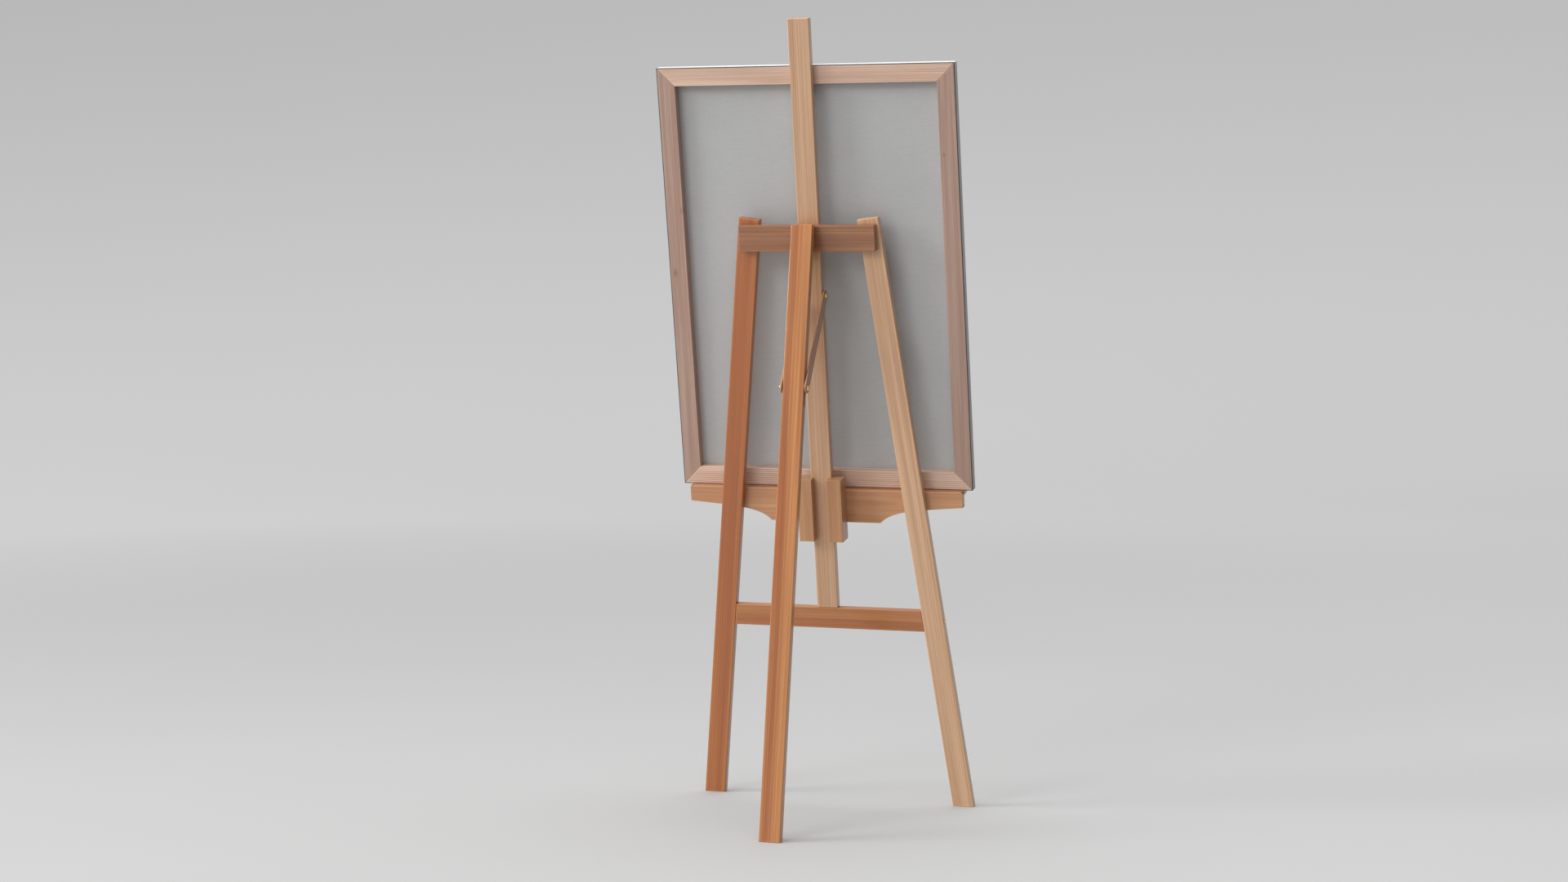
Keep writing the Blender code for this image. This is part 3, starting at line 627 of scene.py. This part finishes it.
def cloth(name, axes, colour, slub, rough):
    """Plain woven cloth, its threads along the first and third axes, with painted shade on its side edges."""
    made, tree, shader = new_material(name)
    source = add(tree, "ShaderNodeTexCoord")
    local = add(tree, "ShaderNodeMapping", {
        "Vector": source.outputs["Object"], "Rotation": Matrix(axes).to_euler()}).outputs[0]
    weft = cloudy(tree, local, (55.0, 4.0, 1100.0), 3.0, 0.65)
    warp = cloudy(tree, local, (1100.0, 4.0, 55.0), 3.0, 0.65)
    blotch = cloudy(tree, local, (7.0, 2.0, 7.0), 3.0, 0.55)
    shade = shaded(tree, rgba(colour), weft, slub)
    shade = shaded(tree, shade, warp, slub * 0.45)
    shade = shaded(tree, shade, blotch, 0.03)
    # painted shade on the side edges, which face along the first axis
    facing = measured(tree, "DOT_PRODUCT", source.outputs["Normal"], axes[0])
    edge = spread(tree, calc(tree, "ABSOLUTE", facing), 0.6, 0.9, 0.0, 0.85)
    shade = blended(tree, edge, shade, rgba(colour, SIDE_EDGE_SHADE))
    feed(tree, shader, {"Base Color": shade, "Roughness": rough, "Specular IOR Level": 0.25})
    turn = 2 * pi / CLOTH_THREAD
    turns = mixed(tree, "MULTIPLY", local, (turn, 0.0, turn))
    turn_x, _, turn_z = add(tree, "ShaderNodeSeparateXYZ", {0: turns}).outputs
    weave = product(tree, calc(tree, "SINE", turn_x), calc(tree, "SINE", turn_z))
    height = total(tree, product(tree, weave, 0.5), weft)
    bumped(tree, shader, height, 0.35, 0.25 * MM)
    return made


# ---- wooden members ----
def corner(planes):
    """The point where three planes, each (normal, distance), meet."""
    normals = Matrix([normal for normal, _ in planes])
    return normals.inverted() @ Vector([distance for _, distance in planes])


def member_mesh(name, axes, ease):
    """A timber between the planes of its node's six largest faces, with its edges eased."""
    faces = flat_faces(name)
    pairs = []
    for number, axis in enumerate(axes):
        near = 0.6 if number == 2 else 0.95      # the ends may be cut at a slant
        pairs.append([next((normal, distance) for _, normal, distance in faces
                           if sign * normal.dot(axis) > near) for sign in (-1, 1)])
    bm = bmesh.new()
    rings = []
    for end in pairs[2]:
        ring = [(pairs[0][a], pairs[1][b], end) for a, b in ((0, 0), (1, 0), (1, 1), (0, 1))]
        rings.append([bm.verts.new(corner(planes)) for planes in ring])
        bm.faces.new(rings[-1])
    bridge(bm, rings, 4)
    return rounded(bm, ease)


def member(name, kind, seed, ease=TIMBER_EASE, cuts=(), **grain):
    axes = member_axes(name)
    material = wood(f"wood_{name}", kind, axes, centre(name), seed, **grain)
    obj = piece(f"{name}_timber", member_mesh(name, axes, ease), name, material)
    if cuts:
        combine(obj, cuts)
    evened(obj)


def head_recess(name):
    """The shallow space in the wood for a screw's head."""
    axle = Axle(name)
    radius = axle.radius + HEAD_PLAY
    depth = axle.radius * RECESS_DEPTH
    profile = [(0, -OVERSHOOT), (radius, -OVERSHOOT), (radius, 0.1 * MM),
               (radius * RECESS_FOOT, depth), (0, depth)]
    return turned(profile, axle.start, axle.along, CUTTER_SIDES)


def foot_well(name):
    """The counterbore that a mast foot screw's head sits in."""
    axle = Axle(name)
    radius = axle.radius + WELL_PLAY
    profile = [(0, -WELL_DEPTH), (radius, -WELL_DEPTH), (radius, 0),
               (axle.radius * RECESS_FOOT, WELL_SEAT), (0, WELL_SEAT)]
    return turned(profile, axle.start, axle.along, CUTTER_SIDES)


def rear_slot():
    """The slot through the rear leg for the stays' bolt, from the rim it leaves on one side."""
    width, thickness, length = member_axes("rear_leg")
    low_side, high_side = extent("rear_leg", width)
    core = sum(extent("rear_leg", thickness)) / 2
    rim = [vert.co for vert in nodes["rear_leg"].data.vertices
           if abs(vert.co.dot(thickness) - core) < SLOT_BAND
           and high_side - vert.co.dot(width) < 0.2 * MM]
    ups = [point.dot(length) for point in rim]
    throughs = [point.dot(thickness) for point in rim]
    radius = (max(throughs) - min(throughs)) / 2
    middle = (max(throughs) + min(throughs)) / 2
    origin = width * (low_side - OVERSHOOT) + thickness * middle
    outline = slot_outline(min(ups) + radius, max(ups) - radius, radius)
    return swept(outline, origin, thickness, length, width, high_side - low_side + 2 * OVERSHOOT)


def build_front_frame():
    left = {"kind": "orange", "seed": 1.0, "lean": -7.0,
            "hearts": ((-0.009, 0.009, 0.8), (0.016, 0.006, 0.3))}
    right = {"kind": "tan", "seed": 2.0, "tint": 1.12, "hearts": ((0.004, 0.007, 0.45),)}
    for side, grain in zip(SIDES, (left, right)):
        cuts = [head_recess(f"crossbar_screw_{side}_{level}") for level in LEVELS]
        member(f"{side}_front_leg", cuts=cuts, **grain)
    cuts = [head_recess(f"mast_screw_{level}") for level in LEVELS]
    member("mast", "tan", 3.0, cuts=cuts, hearts=((0.012, 0.006, 0.4), (-0.008, 0.005, 0.3)))
    cuts = [foot_well(f"mast_foot_screw_{side}") for side in SIDES]
    member("lower_brace", "amber", 6.0, cuts=cuts)
    member("top_crossbar", "brown", 5.0)


def build_rear_leg():
    member("rear_leg", "deep orange", 4.0, cuts=[rear_slot()], lean=9.0,
           hearts=((0.010, 0.009, 0.9), (-0.002, 0.006, 0.35)))


def build_stretchers():
    edge = 20.6 * MM              # from a bar's middle to the painted shadow of the gap along its outer edge
    member("stretcher_bottom", "lined pine", 9.0, ease=BLOCK_EASE, pith=(0.22, 0.03), grime=-edge)
    member("stretcher_top", "pine", 10.0, ease=BLOCK_EASE, pith=(-0.20, -0.05), grime=edge,
           knots=((0.016, 0.012, 0.352, 5 * MM), (0.018, 0.012, -0.350, 5 * MM)))
    member("stretcher_left", "pine in painted shade", 11.0, ease=BLOCK_EASE, pith=(0.16, -0.05), grime=edge,
           knots=((-0.020, 0.012, 0.175, 5 * MM), (0.009, 0.012, 0.017, 6 * MM)))
    member("stretcher_right", "pine in painted shade", 12.0, ease=BLOCK_EASE, pith=(-0.16, -0.05), grime=-edge,
           knots=((0.012, 0.012, 0.31, 3 * MM),))


# ---- stays ----
def build_stays():
    top, bottom = centre("mast_stay_bolt"), centre("leg_stay_bolt")
    top.x = bottom.x = 0.0
    along = (top - bottom).normalized()
    second = along.cross(X_AXIS).normalized()
    for number, side in enumerate(SIDES):
        name = f"{side}_stay"
        low, high = extent(name, X_AXIS)
        outline = slot_outline(0, (top - bottom).length, half_size(name, second), 24)
        bm = swept(outline, bottom + X_AXIS * low, second, along, X_AXIS, high - low)
        material = wood(f"wood_{name}", "stay", (-second, X_AXIS, along), centre(name), 13.0 + number)
        obj = piece(f"{name}_bar", rounded(bm, STAY_EASE, 3, wear_and_highlight=False), name, material)
        combine(obj, [bore(place, X_AXIS, BOLT_BORE_R) for place in (top, bottom)])
        evened(obj)


# ---- tray ----
def bezier(points, steps):
    curve = []
    for k in range(steps + 1):
        t = k / steps
        weights = ((1 - t) ** 3, 3 * t * (1 - t) ** 2, 3 * t * t * (1 - t), t ** 3)
        curve.append(tuple(sum(w * p[i] for w, p in zip(weights, points)) for i in (0, 1)))
    return curve


def apron_outline():
    """Across and up, in the frame's plane: a wide middle with a scoop on each side."""
    half = extent("tray_apron", X_AXIS)[1]
    low, high = extent("tray_apron", SLOPE)
    verts = [v.co for v in nodes["tray_apron"].data.vertices]
    flat = max(p.x for p in verts if p.dot(SLOPE) < low + ALIKE)
    end = min(p.dot(SLOPE) for p in verts if p.x > half - APRON_CORNER - ALIKE)
    corner_x = half - APRON_CORNER
    handles = [(flat + out, low + up) for out, up in zip(SCOOP_OUT, SCOOP_UP)]
    right = bezier([(flat, low), *handles, (corner_x, end)], 28)
    right += arc((corner_x, end + APRON_CORNER), APRON_CORNER, -pi / 2, 0, 6)[1:]
    right += arc((corner_x, high - APRON_CORNER), APRON_CORNER, 0, pi / 2, 6)
    return right + [(-x, z) for x, z in reversed(right)]


def build_tray():
    low, high = extent("tray_apron", BEHIND)
    board = swept(apron_outline(), BEHIND * low, X_AXIS, SLOPE, BEHIND, high - low)
    material = wood("wood_tray_apron", "apron", LEVEL, centre("tray_apron"), 15.0,
                    pith=(-0.01, 0.035))
    obj = piece("tray_apron_board", rounded(board, BOARD_EASE, 3), "tray_apron", material)
    cuts = [head_recess(f"block_screw_{side}_{level}") for side in SIDES for level in LEVELS]
    insert_r = half_size("threaded_insert", X_AXIS) + INSERT_PLAY
    cuts.append(bore(centre("threaded_insert"), BEHIND, insert_r))
    combine(obj, cuts)
    evened(obj)

    member("tray_ledge", "apron", 16.0, ease=BOARD_EASE)
    member("tray_front_lip", "apron", 17.0)
    build_block("left_slider_block", 18.0, 1)
    build_block("right_slider_block", 19.0, -1)
    pine = wood("wood_dowel", "pine", (X_AXIS, -SLOPE, BEHIND), centre("ledge_dowel_1"), 21.0)
    for number in (1, 2, 3):
        dowel = nodes[f"ledge_dowel_{number}"]
        dowel.data.materials.clear()
        dowel.data.materials.append(pine)


def build_block(name, seed, side):
    """An L-shaped block: its cheek runs on the mast's side and its lip behind the mast."""
    walls = {}
    for _, normal, distance in flat_faces(name)[:8]:
        for word, axis in (("x", X_AXIS * side), ("b", BEHIND)):
            for sign in (1, -1):
                if sign * normal.dot(axis) > 0.99:
                    walls.setdefault((word, sign), []).append(sign * distance)
    outer = max(walls["x", 1])
    cheek, lip = max(walls["x", -1]), min(walls["x", -1])
    back = max(walls["b", 1])
    front, inside = min(walls["b", -1]), max(walls["b", -1])
    shape = [(outer, front), (outer, back), (lip, back), (lip, inside), (cheek, inside), (cheek, front)]
    low, high = extent(name, SLOPE)
    bm = swept([(side * a, b) for a, b in shape], SLOPE * low, X_AXIS, BEHIND, SLOPE, high - low)
    material = wood(f"wood_{name}", "block", UPRIGHT, centre(name), seed)
    evened(piece(f"{name}_body", rounded(bm, BLOCK_EASE, 3), name, material))


def build_knob():
    """A lobed grip with rounded rims and a softly domed face, turned about the stud."""
    low, high = extent("tray_knob", BEHIND)
    radius = half_size("tray_knob", X_AXIS)
    bends = (0, 0.4, 0.8, 1.2, pi / 2)
    flat, back = radius - KNOB_RIM, high - KNOB_RIM
    front = low + KNOB_CROWN + KNOB_RIM
    profile = [(0.0, low)]
    profile += [(radius * share, low + KNOB_CROWN * share ** 3) for share in (0.3, 0.55, 0.72)]
    profile += [(flat + KNOB_RIM * sin(a), front - KNOB_RIM * cos(a)) for a in bends]
    profile += [(flat + KNOB_RIM * cos(a), back + KNOB_RIM * sin(a)) for a in bends]
    profile += [(radius * 0.6, high), (radius * 0.3, high), (0.0, high)]
    stud_end = end_centre("knob_stud", BEHIND)
    across, up = stud_end.dot(X_AXIS), stud_end.dot(SLOPE)
    bm = bmesh.new()
    rings = []
    for reach, height in profile:
        ring = []
        for k, (a, b) in enumerate(circle(reach, KNOB_SIDES)):
            dip = 1 - cos(KNOB_LOBES * 2 * pi * k / KNOB_SIDES)
            wave = 1 - KNOB_WAVE * dip * (reach / radius) ** 2
            place = X_AXIS * (across + a * wave) + SLOPE * (up + b * wave) + BEHIND * height
            ring.append(bm.verts.new(place))
        rings.append(ring)
    bridge(bm, rings, KNOB_SIDES)
    material = wood("wood_tray_knob", "tan", LEVEL, centre("tray_knob"), 20.0)
    obj = piece("tray_knob_grip", bm, "tray_knob", material)
    hole_r = Axle("knob_stud").radius + INSERT_PLAY
    hole = [(0, 0), (hole_r, 0), (hole_r, CUTTER_REACH), (0, CUTTER_REACH)]
    combine(obj, [turned(hole, stud_end - BEHIND * INSERT_PLAY, BEHIND, CUTTER_SIDES)])


# ---- turned metal ----
def threaded(radius, first, last, pitch):
    """A thread's profile, as grooves from one height to another."""
    profile = []
    turns = int((last - first) / pitch)
    for k in range(turns):
        profile.append((radius, first + pitch * k))
        profile.append((radius * THREAD_CUT, first + pitch * (k + 0.5)))
    return profile


def build_screw(name, brass):
    """A slotted countersunk wood screw; each one's slot lies its own way."""
    axle = Axle(name)
    head, shank, tip = axle.radius, axle.radius * SCREW_SHANK, axle.length
    point = tip - 2 * shank
    profile = [(0, 0), (head - SCREW_EASE, 0), (head, SCREW_EASE), (head, SCREW_RIM),
               (shank, head * SCREW_SINK + 2 * SCREW_EASE),
               *threaded(shank, tip * THREAD_FROM, point - shank / 2, THREAD_PITCH),
               (shank * 0.7, point), (0, tip)]
    obj = piece(f"{name}_fine", turned(profile, axle.start, axle.along, 28), name, brass)
    roll = Matrix.Rotation(radians(37.0 * (sum(map(ord, name)) % 9)), 3, axle.along)
    first = roll @ axle.along.orthogonal().normalized()
    second = axle.along.cross(first)
    half, reach = SLOT_WIDTH / 2, head * 2
    outline = [(-half, -reach), (half, -reach), (half, reach), (-half, reach)]
    start = axle.start - axle.along * OVERSHOOT
    combine(obj, [swept(outline, start, first, second, axle.along, OVERSHOOT + SLOT_DEPTH)])


def dome_profile(radius, height, steps=10):
    """From the crown, at height 0, to the rim's foot, at the given height."""
    rise = height - FLANGE
    bends = [pi / 2 * k / steps for k in range(steps + 1)]
    crown = [(radius * sin(a), rise * (1 - cos(a))) for a in bends]
    return [*crown, (radius, height - FLANGE_EASE), (radius - FLANGE_EASE, height)]


def build_domed_bolt(name, brass):
    """A bolt with a domed head, its crown at the node's head end."""
    axle = Axle(name)
    profile = [*dome_profile(axle.radius, axle.seat),
               (BOLT_R, axle.seat + 0.01 * MM), (BOLT_R, axle.length - BOLT_END),
               (BOLT_R - BOLT_END, axle.length), (0, axle.length)]
    piece(f"{name}_fine", turned(profile, axle.start, axle.along), name, brass)


def build_cap_nut(name, brass):
    height = 2 * half_size(name, X_AXIS)
    floor = height * 0.6
    profile = [*dome_profile(half_size(name, Z_AXIS) / CAD_RIM, height),
               (BOLT_BORE_R, height), (BOLT_BORE_R, floor), (0, floor)]
    piece(f"{name}_fine", turned(profile, end_centre(name, -X_AXIS), -X_AXIS), name, brass)


def ring_section(inner, outer, length, soft):
    """The section of a bush or washer with softened rims."""
    return [(inner, soft), (inner + soft, 0), (outer - soft, 0), (outer, soft),
            (outer, length - soft), (outer - soft, length),
            (inner + soft, length), (inner, length - soft)]


def build_washer(name, brass):
    outer = half_size(name, Z_AXIS) / CAD_RIM
    section = ring_section(BOLT_BORE_R, outer, 2 * half_size(name, X_AXIS), soft=0.25 * MM)
    disc = turned(section, end_centre(name, X_AXIS), X_AXIS, closed=True)
    piece(f"{name}_fine", disc, name, brass)


def build_stud(brass, steel):
    """The threaded insert in the tray's apron, and the knob's stud that turns in it."""
    outer = half_size("threaded_insert", X_AXIS)
    length = 2 * half_size("threaded_insert", BEHIND)
    section = ring_section(BOLT_BORE_R, outer, length, soft=0.3 * MM)
    bush = turned(section, end_centre("threaded_insert", BEHIND), BEHIND, closed=True)
    piece("threaded_insert_fine", bush, "threaded_insert", brass)
    length = 2 * half_size("knob_stud", BEHIND)
    profile = [(0, 0), (BOLT_R * 0.85, 0),
               *threaded(BOLT_R, 2 * BOLT_END, length - 3 * BOLT_END, STUD_PITCH),
               (BOLT_R * 0.8, length - BOLT_END), (BOLT_R * 0.7, length), (0, length)]
    stud = turned(profile, end_centre("knob_stud", BEHIND), BEHIND, 32)
    piece("knob_stud_fine", stud, "knob_stud", steel)


def build_leaf(name, wood_side, down, first_knuckle, brass):
    """A hinge leaf: a plate on the wood, rolled into every second knuckle about the pin."""
    low, high = extent(name, X_AXIS)
    pin = centre("hinge_pin")
    reach = extent(name, down)[1] - pin.dot(down)
    pitch = (high - low) / KNUCKLES
    clear = KNUCKLE_R + LEAF_CLEAR
    inner = KNUCKLE_R - LEAF_T
    left, right, foot = low + LEAF_CORNER, high - LEAF_CORNER, reach - LEAF_CORNER
    outline = [(low, clear), *arc((left, foot), LEAF_CORNER, pi, pi / 2, 6),
               *arc((right, foot), LEAF_CORNER, pi / 2, 0, 6), (high, clear)]
    pin.x = 0.0
    plate = swept(outline, pin + wood_side * inner, X_AXIS, down, wood_side, LEAF_T)
    obj = piece(f"{name}_fine", rounded(plate, LEAF_EASE, 2, wear_and_highlight=False), name, brass)
    meet = acos(inner / KNUCKLE_R) - 2 * pi      # where the roll comes back to the plate's face
    knuckle = [*arc((0, 0), KNUCKLE_R, 0, meet, 40), (inner + LEAF_SINK, clear + LEAF_LAP),
               (KNUCKLE_R - LEAF_SINK, clear + LEAF_LAP)]
    rolls = []
    for k in range(first_knuckle, KNUCKLES, 2):
        start = pin + X_AXIS * (low + pitch * k + KNUCKLE_GAP)
        rolls.append(swept(knuckle, start, wood_side, down, X_AXIS, pitch - 2 * KNUCKLE_GAP))
    combine(obj, rolls, "UNION")
    recesses = [head_recess(f"{name}_screw_{number}") for number in (1, 2, 3)]
    combine(obj, [bore(pin, X_AXIS, PIN_R + PIN_PLAY), *recesses])


def build_metal():
    brass = metal("polished_brass", (0.82, 0.60, 0.29), 0.17)
    steel = metal("zinc_steel", (0.56, 0.56, 0.58), 0.32)
    for name in nodes:
        if "_screw_" in name:
            build_screw(name, brass)
        elif "_washer_" in name:
            build_washer(name, brass)
        elif name.endswith("_cap_nut"):
            build_cap_nut(name, brass)
        elif name.endswith("_stay_bolt") or name.startswith("brace_bolt_"):
            build_domed_bolt(name, brass)
    build_stud(brass, steel)
    _, rear_back, rear_up = member_axes("rear_leg")
    build_leaf("hinge_fixed_leaf", -BEHIND, -SLOPE, 0, brass)
    build_leaf("hinge_moving_leaf", rear_back, -rear_up, 1, brass)
    length = 2 * half_size("hinge_pin", X_AXIS)
    profile = [(0, 0), (PIN_R - PIN_END, 0), (PIN_R, PIN_END), (PIN_R, length - PIN_END),
               (PIN_R - PIN_END, length), (0, length)]
    pin = turned(profile, end_centre("hinge_pin", X_AXIS), X_AXIS)
    piece("hinge_pin_fine", pin, "hinge_pin", steel)


# ---- canvas ----
def build_cloth():
    """The canvas: one sheet over the bars' faces, bent round their outer edges to the back."""
    axes = member_axes("stretcher_left")
    across, behind, up = axes
    x0, x1 = extent("canvas_cloth", across)
    y0 = extent("canvas_cloth", behind)[0]
    y1 = extent("stretcher_left", behind)[1] - CLOTH_FRAY
    z0, z1 = extent("canvas_cloth", up)
    bm = bmesh.new()
    rings = []
    for y in (y0, y1):
        rings.append([bm.verts.new((x, y, z)) for x, z in ((x0, z0), (x1, z0), (x1, z1), (x0, z1))])
    bm.faces.new(rings[0])
    bridge(bm, rings, 4)
    bmesh.ops.recalc_face_normals(bm, faces=bm.faces)
    folds = [edge for edge in bm.edges if len(edge.link_faces) == 2]
    bmesh.ops.bevel(bm, geom=folds, offset=CLOTH_BEND, segments=4, profile=0.5, affect="EDGES")
    for axis, low, high in ((0, x0, x1), (2, z0, z1), (1, y0, y1)):
        cells = max(4, round((high - low) / CLOTH_CELL))
        normal = Matrix.Identity(3)[axis]
        for k in range(1, cells):
            place = normal * (low + (high - low) * k / cells)
            bmesh.ops.bisect_plane(bm, geom=[*bm.verts, *bm.edges, *bm.faces], plane_co=place,
                                   plane_no=normal, dist=0.01 * MM)
    rim = {vert for vert in bm.verts if vert.is_boundary}
    for vert in bm.verts:
        x, y, z = vert.co
        inside = min(x - x0, x1 - x, z - z0, z1 - z)
        if y < y0 + 0.1 * MM and inside > SWELL_EDGE:
            vert.co.y += CLOTH_SWELL * (0.5 + noise.noise(Vector((x * SWELL_RATE, 3.1, z * SWELL_RATE))))
        if vert in rim:
            vert.co.y += CLOTH_FRAY * noise.noise(Vector((x * FRAY_RATE, 7.7, z * FRAY_RATE)))
    turn = Matrix(axes).transposed()
    bmesh.ops.transform(bm, matrix=turn.to_4x4(), verts=bm.verts)
    primed = cloth("primed_linen", axes, (0.87, 0.87, 0.86), 0.03, 0.75)
    raw = cloth("raw_linen", axes, (0.503, 0.504, 0.503), 0.10, 0.92)
    # the cloth's cut rim, painted near black as the shadow of the gap behind it
    cut = cloth("cut_edge_painted_shade", axes, (0.10, 0.09, 0.085), 0.10, 0.92)
    obj = piece("canvas_sheet", bm, "canvas_cloth", primed, raw, cut)
    thick = obj.modifiers.new("thick", "SOLIDIFY")
    thick.thickness = CLOTH_T
    thick.offset = -1.0
    thick.material_offset = 1
    thick.material_offset_rim = 2


# ---- stage, light and camera ----
def stage_paper():
    """Pale paper that gives its own light away from the easel."""
    made, tree, shader = new_material("stage_paper")
    source = add(tree, "ShaderNodeTexCoord").outputs["Object"]
    flat = mixed(tree, "MULTIPLY", source, (1.0, 1.0, 0.0))
    outward = calc(tree, "DIVIDE", measured(tree, "LENGTH", flat), EVEN_FROM, clamp=True)
    sideways, _, height = add(tree, "ShaderNodeSeparateXYZ", {0: source}).outputs
    slope = total(tree, product(tree, outward, WALL_TILT - FLOOR_TILT), FLOOR_TILT)
    shade = total(tree, product(tree, outward, WALL_GREY - FLOOR_GREY), FLOOR_GREY)
    # painted light and shade: the paper's brightness tilts along X and falls with height
    even = total(tree, product(tree, slope, sideways), 1.0)
    even = product(tree, even, spread(tree, height, *WALL_DROP))
    colour = grey(tree, product(tree, shade, even))
    colour = shaded(tree, colour, cloudy(tree, source, (0.8, 0.8, 0.8), 2.0), 0.015)
    glow = product(tree, product(tree, outward, WALL_GLOW), even)
    feed(tree, shader, {
        "Base Color": colour, "Emission Color": WHITE, "Emission Strength": glow,
        "Roughness": 0.9, "Specular IOR Level": 0.2})
    return made


def build_stage():
    """A round floor that sweeps up into a wall, so that every view has the same plain ground."""
    profile = [(STAGE_RADIUS * k / 12, 0.0) for k in range(13)]
    for k in range(1, 17):
        angle = pi / 2 * k / 16
        profile.append((STAGE_RADIUS + STAGE_SWEEP * sin(angle), STAGE_SWEEP * (1 - cos(angle))))
    profile.append((STAGE_RADIUS + STAGE_SWEEP, STAGE_HEIGHT))
    mesh = mesh_from(turned(profile, Vector(), Z_AXIS, STAGE_SIDES), "stage")
    mesh.shade_smooth()
    mesh.materials.append(stage_paper())
    stage = placed("stage", mesh)
    stage.visible_shadow = False
    stage.visible_diffuse = False
    return stage


def area_light(name, place, size, power):
    light = bpy.data.lights.new(name, "AREA")
    light.shape = "DISK"
    light.size = size
    light.energy = power
    obj = placed(name, light)
    obj.location = place
    obj.rotation_euler = (Vector(LAMP_TARGET) - Vector(place)).to_track_quat("-Z", "Y").to_euler()
    return obj


def build_light(stage):
    """A room that glows most from behind the easel, three soft lamps, and a rim light.

    Of the three, only the key is seen in the varnish.  The rim light doesn't reach the stage.
    """
    world = bpy.data.worlds.new("studio")
    world.use_nodes = True
    tree = world.node_tree
    direction = add(tree, "ShaderNodeTexCoord").outputs["Generated"]
    glow = ROOM_BASE
    for axis, strength in ROOM_GLOW:
        facing = measured(tree, "DOT_PRODUCT", direction, axis)
        glow = total(tree, product(tree, calc(tree, "MAXIMUM", facing, 0.0), strength), glow)
    feed(tree, tree.nodes["Background"], {"Color": WHITE, "Strength": glow})
    bpy.context.scene.world = world
    for name, place, size, power in LAMPS:
        area_light(name, place, size, power).visible_glossy = name == "key"
    rim = area_light(*RIM)
    unlit = bpy.data.collections.new("unlit_by_rim")
    unlit.objects.link(stage)
    unlit.collection_objects[0].light_linking.link_state = "EXCLUDE"
    rim.light_linking.receiver_collection = unlit


def build_camera():
    data = bpy.data.cameras.new("camera")
    data.lens = CAMERA_LENS
    data.clip_start, data.clip_end = 0.05, 100.0
    camera = placed("camera", data)
    camera.location = CAMERA_PLACE
    level = cos(CAMERA_DOWN)
    forward = Vector((sin(CAMERA_YAW) * level, -cos(CAMERA_YAW) * level, -sin(CAMERA_DOWN)))
    camera.rotation_mode = "QUATERNION"
    camera.rotation_quaternion = forward.to_track_quat("-Z", "Y")
    bpy.context.scene.camera = camera


build_camera()
build_light(build_stage())
bpy.context.scene.view_settings.view_transform = "Standard"

build_front_frame()
build_rear_leg()
build_stays()
build_tray()
build_knob()
build_metal()
build_stretchers()
build_cloth()
